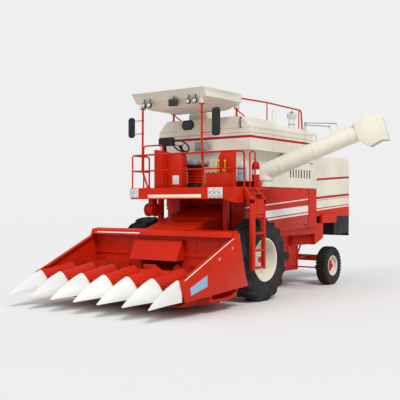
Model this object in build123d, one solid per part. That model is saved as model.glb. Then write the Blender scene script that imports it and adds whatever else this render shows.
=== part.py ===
"""Self-propelled combine harvester with a six-row maize header, as separate pieces in one frame.

Millimetres. The origin is on the ground, under the middle of the drive axle.
-Y is the way it drives, +X is its left side, +Z is up.
"""
from build123d import *
import math
import os

os.makedirs("parts", exist_ok=True)

RUN_GAP = 0.3              # running clearance on a shaft
SEAT_GAP = 0.3             # between pieces that only rest on each other
WALL = 40

# Wheels
WHEELBASE = 3360
DRIVE_R = 775              # to the tips of the lugs
DRIVE_W = 467
DRIVE_X = 1290             # middle of the drive tyre
DRIVE_RIM_R = 388
DRIVE_SPINDLE_R = 60
LUG_H = 34
LUG_PAIRS = 17
LUG_SWEEP = 14             # degrees that a lug trails from the middle to the shoulder
LUG_TIP = 2.2              # half width of a lug's top, in degrees
LUG_ROOT = 2.8
STEER_R = 430
STEER_W = 250
STEER_X = 1085             # middle of the steered tyre
STEER_RIM_R = 215
STEER_SPINDLE_R = 30
DRIVE_FACETS = 32          # flat facets round a wheel
STEER_FACETS = 24
RIM_LIP = 20               # height of a rim's lip
RIM_WALL = 16

# Axles and steering
AXLE_SQ = 240              # drive axle beam, square
KINGPIN_X = 862
KINGPIN_R = 28
KNUCKLE_R = 58
AXLE_BEAM_H = 130          # rear beam, square
AXLE_BEAM_Z = STEER_R + 160
ARM_LEN = 160
ARM_Z = STEER_R - 30       # underside of a steering arm
TIE_R = 16
TIE_EYE_H = 20             # half height of the tie rod's eyes

# Frame
SADDLE_H = 85              # from the drive axle up to the frame rails
BEAM_X = 630               # middle of a frame rail
BEAM_W = 100
BEAM_H = 170
BEAM_Z0 = DRIVE_R + AXLE_SQ / 2 + SADDLE_H
HITCH_R = 16

# Threshing body
BODY_X = 955               # half width
SHIELD_T = 40              # a side shield, outer face at BODY_X + SHIELD_T
COVER_LIP = 5              # the upper covers stand out beyond the shields
BODY_Y0 = 120
BODY_Y1 = WHEELBASE - 400
BODY_H = 990
COVER_H = 720
BODY_Z0 = BEAM_Z0 + BEAM_H
WAIST_Z = BODY_Z0 + BODY_H      # where the red body ends and the cream covers begin
SHIELD_Y1 = BODY_Y1 - 380
FEED_X = 640               # opening for the feeder house, half width
FEED_Y1 = 560
LOUVRES = 8
LOUVRE_STEP = 120

# Grain tank
TANK_X = 1120
TANK_Y0 = 50
TANK_Y1 = BODY_Y1 - 390
TANK_H = 440               # upright part of its walls
TANK_Z0 = WAIST_Z + COVER_H
TANK_Z1 = TANK_Z0 + TANK_H
ROOF_H = 210               # front part of the roof, with its wide chamfers
ROOF_LOW_H = 120           # rear part
ROOF_TOP = TANK_Z1 + ROOF_H
ROOF_LOW = TANK_Z1 + ROOF_LOW_H
ROOF_STEP_Y = 1250
ROOF_SLOPE = 130
ROOF_TOP_X = 920
ROOF_LOW_X = 1000
LID_X = 420
LID_Y0 = 1500
LID_LEN = 800
LID_T = 40
LID_LAP = 40               # the lid covers its mouth by this much all round
GLASS_W = 300
GLASS_H = 190

# Straw hood
HOOD_X = 900
HOOD_LEN = 1850
HOOD_Y1 = BODY_Y1 + HOOD_LEN
HOOD_Z0 = BODY_Z0 + 390
HOOD_H = 1380
HOOD_TOP = HOOD_Z0 + HOOD_H
CURTAIN_H = 490
CURTAIN_T = 12

# Operator's platform
DECK_Z = WAIST_Z - 20
DECK_T = 40
FASCIA_H = 210
DECK_Y0 = -1000
DECK_X0 = -940
DECK_X1 = 1250
LANDING_X = 1500
SHELF_H = 130              # shelf for the canister and the extinguisher
RAIL_R = 17
RAIL_TOP = DECK_Z + 635
RAIL_MID = DECK_Z + 330
POST_R = 20
FOOT_T = 12
CANOPY_X = 870
CANOPY_Y0 = -1120
CANOPY_Y1 = 160
CANOPY_Z0 = DECK_Z + 1655  # lower edge of its rim
CANOPY_RIM = 165
VISOR_DEPTH = 127          # how far its front slants back to the lower edge
CANOPY_SAG = 150           # the belly hangs below the rim
CANOPY_PAD = 115           # the posts' pads reach this far below the rim
POST_X = 715
REAR_POST_X = 780
SEAT_X = 50
CUSHION_Z = DECK_Z + 440
WHEEL_RING_R = 165         # steering wheel, to the middle of its ring

# Ladder
LADDER_X = 1655
LADDER_Z0 = 640
LADDER_Y0 = -740
LADDER_Y1 = -300
LADDER_TOP = DECK_Z - 220
STEPS = 4
STEP_RISE = 310

# Header
LIFT_Y = 350               # lift pivot of the feeder house
LIFT_Z = BODY_Z0 + 350
LIFT_PIN_R = 45
LIFT_PIN_IN = 50           # how far the lift pins reach into the feeder's sides
FEEDER_X = 560
PLATE_X = 1720
PLATE_T = 40
PLATE_LIP = 70             # the bent lip along an end plate's top edge
BEAM_Y = -1200
BEAM_TOP = 1350
TROUGH_Z = 205
BELLY_Z = 90
ROWS = 6
ROW_PITCH = 533
SNOUT_TIP_Y = -3450
SNOUT_TIP_Z = 240
SNOUT_BASE_Y = -2750
SNOUT_BASE_Z = 285
SNOUT_TOP_Z = 620
SNOUT_HALF = 248
HOOD_HALF = 165            # half width of a row hood
HOOD_RISE = 122            # from its front end to its rear end
SILL_Y = -1960             # front wall of the trough, its rear face
SILL_T = 40
ROW_END_Y = SILL_Y - SILL_T - SEAT_GAP
DECK_SLOT = 22             # half of the gap between a row's deck plates
DECK_TOP = 412
ROLL_Z = 340
ROLL_X = 47                # middle of a snapping roll, from the row's middle
ROLL_R = 42                # to the edges of its ribs
CHAIN_X = 66               # middle of a gathering chain's loop
CHAIN_HALF = 24            # half width of the loop
CHAIN_T = 14
CHAIN_LUGS = 4
CROSS_R = 225              # to the edge of the flights
CROSS_TUBE_R = 110
CROSS_STUB_R = 35
CROSS_Y = -1560
CROSS_Z = 520
FLIGHT_PITCH = 300
FLIGHT_T = 8
FLIGHT_START = 560         # the middle of the tube is left free
FLIGHT_STEPS = 12          # flat steps in one turn

# Lift cylinders
CYL_X = 480
CYL_BACK = (-190, DRIVE_R - 155)     # pin in the axle's ears, (y, z)
CYL_FRONT = (-900, 440)    # rod eye under the feeder house, (y, z)
CYL_PIN_R = 20
CYL_R = 45
EYE_HALF = 28
ROD_R = 25

# Unloading auger
SWING_X = 1150
SWING_Y = 500
SWING_Z = WAIST_Z + 160    # the turning flange
ELBOW_Z = SWING_Z + 130
SPOUT_R = 165
AUGER_TURN = 17            # degrees from square, towards the rear
AUGER_RISE = 21.8
AUGER_LEN = 2080
FLANGE_T = 28
FLANGE_LIP = 25
STAY_X = 1040
STAY_Y = TANK_Y1 - 210
STAY_Z0 = ROOF_LOW + 70    # foot of the stays' hinge pin
STAY_R = 11
STAY_ENDS = (1500, 1640)   # along the tube, lower and upper stay
STAY_ASIDE = -20
STAY_LIFT = 315            # the stays' outer ends lie this far above the tube's middle line


def save(name, shape):
    """Write one node's file."""
    export_step(shape if isinstance(shape, Compound) else Compound(children=[shape]), f"parts/{name}.step")


def block(x0, x1, y0, y1, z0, z1):
    """A box between two corners."""
    size = Box(x1 - x0, y1 - y0, z1 - z0)
    return Pos((x0 + x1) / 2, (y0 + y1) / 2, (z0 + z1) / 2) * size


def profile_x(points, x0, x1):
    """A side profile, points of (y, z), drawn out from x0 to x1."""
    face = make_face(Polyline(*points, close=True))
    return extrude(Plane.YZ.offset(x0) * face, amount=x1 - x0)


def profile_y(points, y0, y1):
    """A front profile, points of (x, z), drawn out from y0 back to y1."""
    face = mirror(make_face(Polyline(*points, close=True)), Plane.XZ)
    front = Plane(origin=(0, y0, 0), x_dir=(1, 0, 0), z_dir=(0, 1, 0))
    return extrude(front * face, amount=y1 - y0)


def rod(start, end, radius):
    """A round bar between two points."""
    way = Vector(*end) - Vector(*start)
    return Solid.make_cylinder(radius, way.length, Plane(origin=start, z_dir=way))


def slim(start, end, radius, sides=8):
    """A thin bar between two points, eight-sided to keep it light."""
    way = Vector(*end) - Vector(*start)
    return extrude(Plane(origin=start, z_dir=way) * RegularPolygon(radius, sides), amount=way.length)


def tube_run(points, radius):
    """A thin bent bar with mitred corners."""
    start = Plane(origin=points[0], z_dir=Vector(*points[1]) - Vector(*points[0]))
    return sweep(start * RegularPolygon(radius, 8), path=Polyline(*points), transition=Transition.RIGHT)


def fuse(shapes):
    """Join many shapes into one."""
    return Part() + list(shapes)


def both_sides(shape):
    """A shape and its mirror image on the other side of the machine."""
    return [shape, mirror(shape, Plane.YZ)]


def group(shapes):
    """Separate solids of one node."""
    solids = []
    for shape in shapes:
        solids.extend(shape.solids())
    return Compound(children=solids)


def skin(rings, split=False, closed=False):
    """A solid with flat faces between rings of corners. split halves the four-cornered faces
    that are twisted, and closed joins the last ring to the first, with no end faces."""
    faces = []
    if not closed:
        faces += [Face(Wire.make_polygon(ring, close=True)) for ring in (rings[0], rings[-1])]
    pairs = list(zip(rings, rings[1:]))
    if closed:
        pairs.append((rings[-1], rings[0]))
    for one, two in pairs:
        for k in range(len(one)):
            n = (k + 1) % len(one)
            corners = [one[k], one[n], two[n], two[k]]
            cuts = [corners[:3], corners[2:] + corners[:1]] if split else [corners]
            faces += [Face(Wire.make_polygon(cut, close=True)) for cut in cuts]
    return Solid(Shell(faces)).fix()


def turned(points, facets):
    """A closed profile of (radius, offset along x) carried round the X axis in flat facets."""
    rings = []
    for k in range(facets):
        turn = math.radians(360 * k / facets)
        rings.append([(x, r * math.cos(turn), r * math.sin(turn)) for r, x in points])
    return skin(rings, closed=True)


def on_wheel(x, angle, radius):
    """A point round the X axis: angle in degrees."""
    turn = math.radians(angle)
    return (x, radius * math.cos(turn), radius * math.sin(turn))


# Drive wheels: tyre with chevron lugs, dished rim with its hub
def drive_lug(lean, turn):
    """One bar of the chevron tread, from the middle of the tyre down over its shoulder."""
    half = DRIVE_W / 2
    tread = DRIVE_R - LUG_H
    ends = [(-lean * 10, turn, DRIVE_R, tread - 20),
            (lean * (half - 2), turn + LUG_SWEEP, DRIVE_R - 8, tread - 128)]
    rings = []
    for x, middle, top, root in ends:
        rings.append([on_wheel(x, middle - LUG_ROOT, root), on_wheel(x, middle + LUG_ROOT, root),
                      on_wheel(x, middle + LUG_TIP, top), on_wheel(x, middle - LUG_TIP, top)])
    return skin(rings, split=True)


def drive_tyre(side):
    half = DRIVE_W / 2
    bead = half - 46
    tread = DRIVE_R - LUG_H
    bore = DRIVE_RIM_R + RUN_GAP
    carcass = turned([(bore, -bead), (600, -half + 4), (tread, -half + 66), (tread, half - 66), (600, half - 4),
                      (bore, bead)], DRIVE_FACETS)
    step = 360 / LUG_PAIRS
    lugs = [drive_lug(side * lean, (k + (0.5 if lean > 0 else 0)) * step) for k in range(LUG_PAIRS)
            for lean in (-1, 1)]
    return Pos(side * DRIVE_X, 0, DRIVE_R) * fuse([carcass] + lugs)


def drive_rim(side):
    """Barrel with a lip, dished disc set in from the outer face, and hub drum over the spindle."""
    r = DRIVE_RIM_R
    inner = r - RIM_WALL
    seat = DRIVE_W / 2 - 40
    lip = seat + RIM_WALL
    bore = DRIVE_SPINDLE_R + RUN_GAP
    wheel = turned([(bore, 80), (125, 80), (150, 26), (inner, -26), (inner, lip), (r + RIM_LIP, lip), (r, seat),
                    (r, -seat), (inner, -lip), (inner, -44), (bore, 10)], DRIVE_FACETS)
    if side < 0:
        wheel = mirror(wheel, Plane.YZ)
    return Pos(side * DRIVE_X, 0, DRIVE_R) * wheel


# Steered wheels
def steer_tyre(side):
    half = STEER_W / 2
    bore = STEER_RIM_R + RUN_GAP
    bead = half - 28
    tyre = turned([(bore, -bead), (330, -half), (STEER_R, -half + 46), (STEER_R, half - 46), (330, half),
                   (bore, bead)], STEER_FACETS)
    return Pos(side * STEER_X, WHEELBASE, STEER_R) * tyre


def steer_rim(side):
    r = STEER_RIM_R
    inner = r - 10
    seat = STEER_W / 2 - 24
    lip = seat + 9
    bore = STEER_SPINDLE_R + RUN_GAP
    wheel = turned([(bore, 66), (66, 66), (82, 8), (inner, 34), (inner, lip), (r + 12, lip), (r, seat),
                    (r, -seat), (inner, -lip), (inner, 22), (bore, -8)], STEER_FACETS)
    if side < 0:
        wheel = mirror(wheel, Plane.YZ)
    return Pos(side * STEER_X, WHEELBASE, STEER_R) * wheel


# Axles and knuckles
def drive_axle():
    """Square beam, a final drive drum at each end, the spindles and the ears of the lift cylinders."""
    parts = [block(-980, 980, -AXLE_SQ / 2, AXLE_SQ / 2, DRIVE_R - AXLE_SQ / 2, DRIVE_R + AXLE_SQ / 2)]
    for side in (-1, 1):
        parts.append(rod((side * 960, 0, DRIVE_R), (side * 1140, 0, DRIVE_R), 170))
        parts.append(rod((side * 1130, 0, DRIVE_R), (side * 1350, 0, DRIVE_R), DRIVE_SPINDLE_R))
        x = side * CYL_X
        for t in (-37, 37):
            parts.append(block(x + t - 7, x + t + 7, -215, -100, CYL_BACK[1] - 30, CYL_BACK[1] + 80))
        parts.append(rod((x - 44, *CYL_BACK), (x + 44, *CYL_BACK), CYL_PIN_R))
    return fuse(parts)


def rear_axle():
    """Cranked beam with an eye for each kingpin and the A-shaped stay up to the frame."""
    y = WHEELBASE
    half = AXLE_BEAM_H / 2
    beam = block(-800, 800, y - 60, y + 60, AXLE_BEAM_Z - half, AXLE_BEAM_Z + half)
    eye = rod((KINGPIN_X, y, AXLE_BEAM_Z - half), (KINGPIN_X, y, AXLE_BEAM_Z + half), KNUCKLE_R)
    bridge = block(780, KINGPIN_X, y - 45, y + 45, AXLE_BEAM_Z - half, AXLE_BEAM_Z + half)
    bore = rod((KINGPIN_X, y, AXLE_BEAM_Z - AXLE_BEAM_H), (KINGPIN_X, y, AXLE_BEAM_Z + AXLE_BEAM_H),
               KINGPIN_R + RUN_GAP)
    end = fuse([eye, bridge]) - bore
    top = BEAM_Z0 - SEAT_GAP
    stay = profile_y([(-330, top), (330, top), (110, AXLE_BEAM_Z), (-110, AXLE_BEAM_Z)], y - 50, y + 50)
    window = profile_y([(-170, top - 60), (170, top - 60), (60, AXLE_BEAM_Z + 110), (-60, AXLE_BEAM_Z + 110)],
                       y - 60, y + 60)
    return fuse([beam] + both_sides(end) + [stay - window])


def knuckle(side):
    """Kingpin through the beam's eye, a cheek below, the spindle and the steering arm."""
    y = WHEELBASE
    x = side * KINGPIN_X
    eye = AXLE_BEAM_Z - AXLE_BEAM_H / 2
    cap_z = AXLE_BEAM_Z + AXLE_BEAM_H / 2 + RUN_GAP
    pin = rod((x, y, eye - 10), (x, y, cap_z + 10), KINGPIN_R)
    cap = block(x - 42, x + 42, y - 42, y + 42, cap_z, cap_z + 30)
    cheek = block(x - 46, x + 46, y - 46, y + 46, STEER_R - 70, eye - RUN_GAP)
    spindle = rod((x, y, STEER_R), (side * (STEER_X + 60), y, STEER_R), STEER_SPINDLE_R)
    shoulder = slim((x, y, STEER_R), (side * (STEER_X - 8 - RUN_GAP), y, STEER_R), 48)
    arm = block(x - 20, x + 20, y - ARM_LEN - 30, y, ARM_Z, ARM_Z + 24)
    return fuse([pin, cap, cheek, spindle, shoulder, arm])


def tie_rod():
    y = WHEELBASE - ARM_LEN
    z = ARM_Z - SEAT_GAP - TIE_EYE_H
    bar = slim((-KINGPIN_X, y, z), (KINGPIN_X, y, z), TIE_R)
    eyes = [slim((s * KINGPIN_X, y, z - TIE_EYE_H), (s * KINGPIN_X, y, z + TIE_EYE_H), 32, 12) for s in (-1, 1)]
    return fuse([bar] + eyes)


# Frame, body and covers
def frame_rails(y0, y1, z1):
    half = BEAM_W / 2
    return [block(s * BEAM_X - half, s * BEAM_X + half, y0, y1, BEAM_Z0, z1) for s in (-1, 1)]


def chassis_frame():
    """Two rails on saddles over the drive axle, cross members and the hitch at the rear."""
    cross = [block(-BEAM_X, BEAM_X, y - 50, y + 50, BEAM_Z0, BODY_Z0 - 30) for y in (440, WHEELBASE)]
    saddles = [block(s * BEAM_X - 60, s * BEAM_X + 60, -110, 110, BEAM_Z0 - SADDLE_H, BEAM_Z0) for s in (-1, 1)]
    hitch = block(-70, 70, WHEELBASE + 40, WHEELBASE + 280, BEAM_Z0 + 30, BEAM_Z0 + 60)
    hole = rod((0, WHEELBASE + 230, BEAM_Z0), (0, WHEELBASE + 230, BEAM_Z0 + 90), HITCH_R)
    return fuse(frame_rails(-110, WHEELBASE + 80, BODY_Z0) + cross + saddles + [hitch - hole])


def separator_body():
    """The closed threshing body, open in front for the feeder house, with the lift pins."""
    side = [(BODY_Y0, BODY_Z0 + 100), (600, BODY_Z0 + 50), (900, BODY_Z0), (BODY_Y1, BODY_Z0),
            (BODY_Y1, WAIST_Z), (BODY_Y0, WAIST_Z)]
    core = profile_x(side, -BODY_X, BODY_X)
    feed = block(-FEED_X, FEED_X, BODY_Y0 - 10, FEED_Y1, BODY_Z0 - 50, WAIST_Z - 120)
    post = block(BODY_X, BODY_X + SHIELD_T, SHIELD_Y1 + 10, BODY_Y1, BODY_Z0 + 150, WAIST_Z)
    pin = rod((FEED_X + 5, LIFT_Y, LIFT_Z), (FEEDER_X - LIFT_PIN_IN + SEAT_GAP, LIFT_Y, LIFT_Z), LIFT_PIN_R)
    return fuse([core - feed] + both_sides(post) + both_sides(pin))


def side_shields():
    """The striped side covers, one each side, cut up over the drive tyre."""
    outline = [(BODY_Y0, WAIST_Z), (SHIELD_Y1, WAIST_Z), (SHIELD_Y1, BODY_Z0 + 162), (1293, BODY_Z0 + 87),
               (904, BODY_Z0 + 309), (700, BODY_Z0 + 490), (BODY_Y0, BODY_Z0 + 550)]
    shield = profile_x(outline, BODY_X + SEAT_GAP, BODY_X + SHIELD_T)
    return group(both_sides(shield))


def upper_walls():
    """Front, recess and rear walls between the body and the tank."""
    x = BODY_X - 45
    z0 = WAIST_Z + SEAT_GAP
    z1 = TANK_Z0 - SEAT_GAP
    front = block(-x - WALL, x + WALL, BODY_Y0, BODY_Y0 + WALL, z0, z1)
    rear = block(-x - WALL, x + WALL, BODY_Y1 - WALL, BODY_Y1, z0, z1)
    side = block(x, x + WALL, BODY_Y0, BODY_Y1, z0, z1)
    top = block(-x - WALL, x + WALL, TANK_Y1 + SEAT_GAP, BODY_Y1, z1 - 20, z1 + 30)
    return fuse([front, rear, top] + both_sides(side))


def upper_covers():
    """The cream louvred side covers, cut slanting at the front to clear the auger's elbow."""
    z1 = TANK_Z0 - SEAT_GAP
    outline = [(1000, WAIST_Z + SEAT_GAP), (BODY_Y1, WAIST_Z + SEAT_GAP), (BODY_Y1, z1), (1520, z1),
               (1000, WAIST_Z + 420)]
    cover = profile_x(outline, BODY_X - 5 + SEAT_GAP, BODY_X + SHIELD_T + COVER_LIP)
    outside = BODY_X + SHIELD_T
    for k in range(LOUVRES):
        y = BODY_Y1 - 1190 + k * LOUVRE_STEP
        cover -= block(outside - 3, outside + 20, y, y + 40, WAIST_Z + 230, WAIST_Z + 410)
    return group(both_sides(cover))


def sieve_box():
    """The sieve casing under the body, its side boxes, skid planks, guards and the rear chutes."""
    top = BODY_Z0 - SEAT_GAP
    lower = profile_x([(520, top), (BODY_Y1 - 60, top), (BODY_Y1 - 60, top - 150), (BODY_Y1 - 400, top - 550),
                       (1280, top - 610), (1060, top - 290)], -540, 540)
    y0 = BODY_Y1 - 1810
    y1 = BODY_Y1 - 460
    box = profile_x([(y0, top - 10), (y1, top - 10), (y1, top - 190), (y1 - 30, top - 190),
                     (y1 - 30, top - 660), (y0 + 635, top - 660), (y0 + 550, top - 590), (y0, top - 510)], 530, 800)
    plank = block(690, 750, y0 + 680, y1 + 60, top - 770, top - 650)
    guard = block(790, 860, BODY_Y1 - 860, BODY_Y1 - 10, top - 230, top)
    casing = fuse([lower] + both_sides(box) + both_sides(plank) + both_sides(guard))
    gaps = [block(s * BEAM_X - BEAM_W / 2 - SEAT_GAP, s * BEAM_X + BEAM_W / 2 + SEAT_GAP, 300, BODY_Y1,
                  BEAM_Z0 - SEAT_GAP, BODY_Z0) for s in (-1, 1)]
    member = block(-BEAM_X, BEAM_X, 385, 495, BEAM_Z0 - SEAT_GAP, BODY_Z0)
    chute_y = BODY_Y1 + SEAT_GAP
    chute = profile_x([(chute_y, top + 230), (WHEELBASE, top + 230), (WHEELBASE, top - 100),
                       (chute_y, top - 240)], 800, 950)
    return group([casing - fuse(gaps + [member])] + both_sides(chute))


def straw_hood():
    """Hollow hood behind the body, open below, with the brackets on its sides."""
    y0 = BODY_Y1 + SEAT_GAP
    outer = [(y0, HOOD_Z0), (HOOD_Y1, HOOD_Z0), (HOOD_Y1, HOOD_TOP - 110), (HOOD_Y1 - 120, HOOD_TOP - 20),
             (HOOD_Y1 - 510, HOOD_TOP), (y0, HOOD_TOP - 60)]
    inner = [(y0 - 5, HOOD_Z0 - 5), (HOOD_Y1 - WALL, HOOD_Z0 - 5), (HOOD_Y1 - WALL, HOOD_TOP - 130),
             (HOOD_Y1 - 140, HOOD_TOP - 58), (HOOD_Y1 - 510, HOOD_TOP - WALL), (y0 - 5, HOOD_TOP - 60 - WALL)]
    shell = profile_x(outer, -HOOD_X, HOOD_X) - profile_x(inner, -HOOD_X + WALL, HOOD_X - WALL)
    bracket = block(HOOD_X - 1, HOOD_X + 60, HOOD_Y1 - 1500, HOOD_Y1 - 800, HOOD_Z0 - 155, HOOD_Z0 + 40)
    return fuse([shell] + both_sides(bracket))


def hood_curtain():
    """Rubber sheets that hang from the rear and sides of the hood."""
    top = HOOD_Z0 - SEAT_GAP
    low = HOOD_Z0 - CURTAIN_H
    rear = block(-HOOD_X, HOOD_X, HOOD_Y1 - CURTAIN_T, HOOD_Y1, low, top)
    side = block(HOOD_X - CURTAIN_T, HOOD_X, HOOD_Y1 - 790, HOOD_Y1 - 2, low + 60, top)
    return fuse([rear] + both_sides(side))


def engine():
    return block(-380, 380, BODY_Y1 - 810, BODY_Y1 - 110, WAIST_Z + SEAT_GAP, TANK_Z0 - 240)


# Grain tank
def tank_body():
    """Hollow tank with upright walls."""
    outer = block(-TANK_X, TANK_X, TANK_Y0, TANK_Y1, TANK_Z0, TANK_Z1)
    inner = block(-TANK_X + WALL, TANK_X - WALL, TANK_Y0 + WALL, TANK_Y1 - WALL, TANK_Z0 + WALL, TANK_Z1 + 1)
    return outer - inner


def roof_form(inset):
    """The roof's outer form, or with an inset the hollow below it."""
    x = TANK_X - inset
    y0 = TANK_Y0 + inset
    z = TANK_Z1 + (SEAT_GAP if inset == 0 else -1)
    low_z = ROOF_LOW - inset
    top_z = ROOF_TOP - inset
    step = ROOF_STEP_Y - inset
    low = profile_y([(-x, z), (x, z), (ROOF_LOW_X - inset, low_z), (inset - ROOF_LOW_X, low_z)],
                    y0, TANK_Y1 - inset)
    front = profile_y([(-x, z), (x, z), (ROOF_TOP_X - inset, top_z), (inset - ROOF_TOP_X, top_z)],
                      y0, step + ROOF_SLOPE)
    side = profile_x([(y0, z), (y0, top_z), (step, top_z), (step + ROOF_SLOPE, low_z), (step + ROOF_SLOPE, z)],
                     -x, x)
    return low + (front & side)


def tank_roof():
    """Chamfered roof, higher in front, with the mouth under the lid and the stays' bracket."""
    mouth = block(LID_LAP - LID_X, LID_X - LID_LAP, LID_Y0 + LID_LAP, LID_Y0 + LID_LEN - LID_LAP,
                  ROOF_LOW - WALL - 10, ROOF_LOW + 10)
    bracket = block(STAY_X - 30, STAY_X + 30, STAY_Y - 30, STAY_Y + 30, TANK_Z1 + WALL, STAY_Z0 - SEAT_GAP)
    return (roof_form(0) - roof_form(WALL) - mouth) + bracket


def tank_lid():
    """Flat lid, hinged along its right edge."""
    z = ROOF_LOW + SEAT_GAP
    top = block(-LID_X, LID_X, LID_Y0, LID_Y0 + LID_LEN, z, z + LID_T)
    hinges = [rod((-LID_X, y, z + LID_T / 2), (-LID_X, y + 90, z + LID_T / 2), LID_T / 2)
              for y in (LID_Y0 + 100, LID_Y0 + LID_LEN - 190)]
    return fuse([top] + hinges)


def octagon(x0, x1, z0, z1, cut):
    """Corners of a rectangle with its corners cut off."""
    return [(x0 + cut, z0), (x1 - cut, z0), (x1, z0 + cut), (x1, z1 - cut), (x1 - cut, z1), (x0 + cut, z1),
            (x0, z1 - cut), (x0, z0 + cut)]


def sight_glass():
    x = -372
    z = TANK_Z1 + 90
    corners = octagon(x - GLASS_W / 2, x + GLASS_W / 2, z - GLASS_H / 2 + 20, z + GLASS_H / 2 + 20, 55)
    return profile_y(corners, TANK_Y0 - 24, TANK_Y0 - SEAT_GAP)


def grain_elevator():
    """Right-hand elevator leg and the elevator's head on the tank roof."""
    z = ROOF_TOP + SEAT_GAP
    head = profile_y([(-540, z), (-100, z), (-100, z + 190), (-480, z + 190), (-540, z + 130)], 300, 760)
    inner = BODY_X + SHIELD_T + COVER_LIP + SEAT_GAP
    leg = block(-inner - 130, -inner, 1250, 1500, BODY_Z0 - 450, WAIST_Z + 500)
    return group([head, leg])


# Operator's platform
def platform_deck():
    """Floor, front fascia, side skirts and the landing on the left."""
    rear = BODY_Y0 - SEAT_GAP
    low = DECK_Z - FASCIA_H
    floor = block(DECK_X0, LANDING_X, DECK_Y0, rear, DECK_Z - DECK_T, DECK_Z)
    fascia = block(DECK_X0, DECK_X1, DECK_Y0 - 30, DECK_Y0 + 10, low, DECK_Z)
    wing = profile_y([(DECK_X1, low), (LANDING_X, low - 70), (LANDING_X, DECK_Z), (DECK_X1, DECK_Z)],
                     DECK_Y0 - 30, DECK_Y0 + 10)
    right = block(DECK_X0, DECK_X0 + 30, DECK_Y0, rear, low, DECK_Z)
    left = block(LANDING_X - 30, LANDING_X, DECK_Y0, -760, low - 70, DECK_Z)
    return fuse([floor, fascia, wing, right, left])


def front_supports():
    """Box legs that carry the platform from the axle, and the drive housing on the right."""
    solids = []
    under = DECK_Z - DECK_T - SEAT_GAP
    knee = BEAM_Z0 + 70
    axle = DRIVE_R + AXLE_SQ / 2 + SEAT_GAP
    for s in (-1, 1):
        leg = block(s * 800 - 45, s * 800 + 45, -330, -240, knee, under)
        foot = profile_x([(-330, knee + 80), (-330, knee), (-60, axle), (110, axle), (-240, knee + 80)],
                         s * 800 - 45, s * 800 + 45)
        solids.append(fuse([leg, foot]))
    z = DECK_Z - 420
    housing = rod((-900, -560, z), (-700, -560, z), 120)
    neck = block(-830, -730, -640, -480, z, under)
    solids.append(fuse([housing, neck]))
    return group(solids)


def platform_rails():
    """Front rails at two heights, the loop before the console and the handrail at the ladder."""
    x0 = DECK_X0 + 20
    x1 = LANDING_X - 25
    y = DECK_Y0 - 10
    top = tube_run([(x0, y + 500, DECK_Z), (x0, y + 500, RAIL_TOP), (x0, y, RAIL_TOP), (x1, y, RAIL_TOP),
                    (x1, y + 320, RAIL_TOP), (x1, y + 320, DECK_Z)], RAIL_R)
    middle = tube_run([(x0, y + 500, RAIL_MID), (x0, y, RAIL_MID), (x1, y, RAIL_MID), (x1, y + 320, RAIL_MID)],
                      RAIL_R - 2)
    corners = [slim((x, y, DECK_Z), (x, y, RAIL_TOP), RAIL_R - 2) for x in (x0, x1)]
    loop = tube_run([(-808, -810, DECK_Z), (-808, -810, DECK_Z + 830), (-324, -810, DECK_Z + 830),
                     (-324, -810, DECK_Z)], RAIL_R - 3)
    grab = tube_run([(1350, -310, DECK_Z), (1350, -310, DECK_Z + 670), (1350, -130, DECK_Z + 670),
                     (1350, -130, DECK_Z)], RAIL_R - 2)
    return group([fuse([top, middle] + corners), loop, grab])


def canopy_frame():
    """Four canopy posts on foot plates and the high handrail along the left of the tank."""
    solids = []
    head_z = CANOPY_Z0 - CANOPY_PAD - SEAT_GAP
    roof = ROOF_TOP + SEAT_GAP
    for s, foot_x, knee_x, knee_z in ((1, 760, 760, DECK_Z + 330), (-1, -570, -POST_X, DECK_Z + 340)):
        x = s * POST_X
        foot = block(foot_x - 45, foot_x + 45, -990, -915, DECK_Z, DECK_Z + FOOT_T)
        head = block(x - 45, x + 45, -985, -895, head_z - FOOT_T, head_z)
        post = tube_run([(foot_x, -955, DECK_Z + 8), (knee_x, -955, knee_z), (x, -945, knee_z + 500),
                         (x, -940, head_z - 8)], POST_R)
        solids.append(fuse([foot, head, post]))
        x = s * REAR_POST_X
        foot = block(x - 40, x + 40, 60, 135, roof, roof + FOOT_T)
        head = block(x - 40, x + 40, 60, 135, head_z - FOOT_T, head_z)
        strut = tube_run([(x, 98, head_z - 12), (x, 400, roof + 20), (x, 430, roof + 20)], RAIL_R - 5)
        strut_foot = block(x - 30, x + 30, 395, 455, roof, roof + FOOT_T)
        post = slim((x, 98, roof + 8), (x, 98, head_z - 8), POST_R)
        solids.append(fuse([foot, head, strut, strut_foot, post]))
    x = ROOF_TOP_X - 20
    z = ROOF_TOP + 360
    foot_z = ROOF_LOW + SEAT_GAP
    rail = tube_run([(810, CANOPY_Y1 + 3, z), (x, 1020, z), (x, 2330, z - 20), (x, 2430, z - 30),
                     (x, 2480, foot_z + 8)], RAIL_R)
    stands = [slim((x, 1020, roof), (x, 1020, z), RAIL_R - 5),
              slim((x, 2330, foot_z), (x, 2330, z - 20), RAIL_R - 5)]
    foot = block(x - 35, x + 35, 2445, 2510, foot_z, foot_z + FOOT_T)
    solids.append(fuse([rail, foot] + stands))
    return group(solids)


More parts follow.
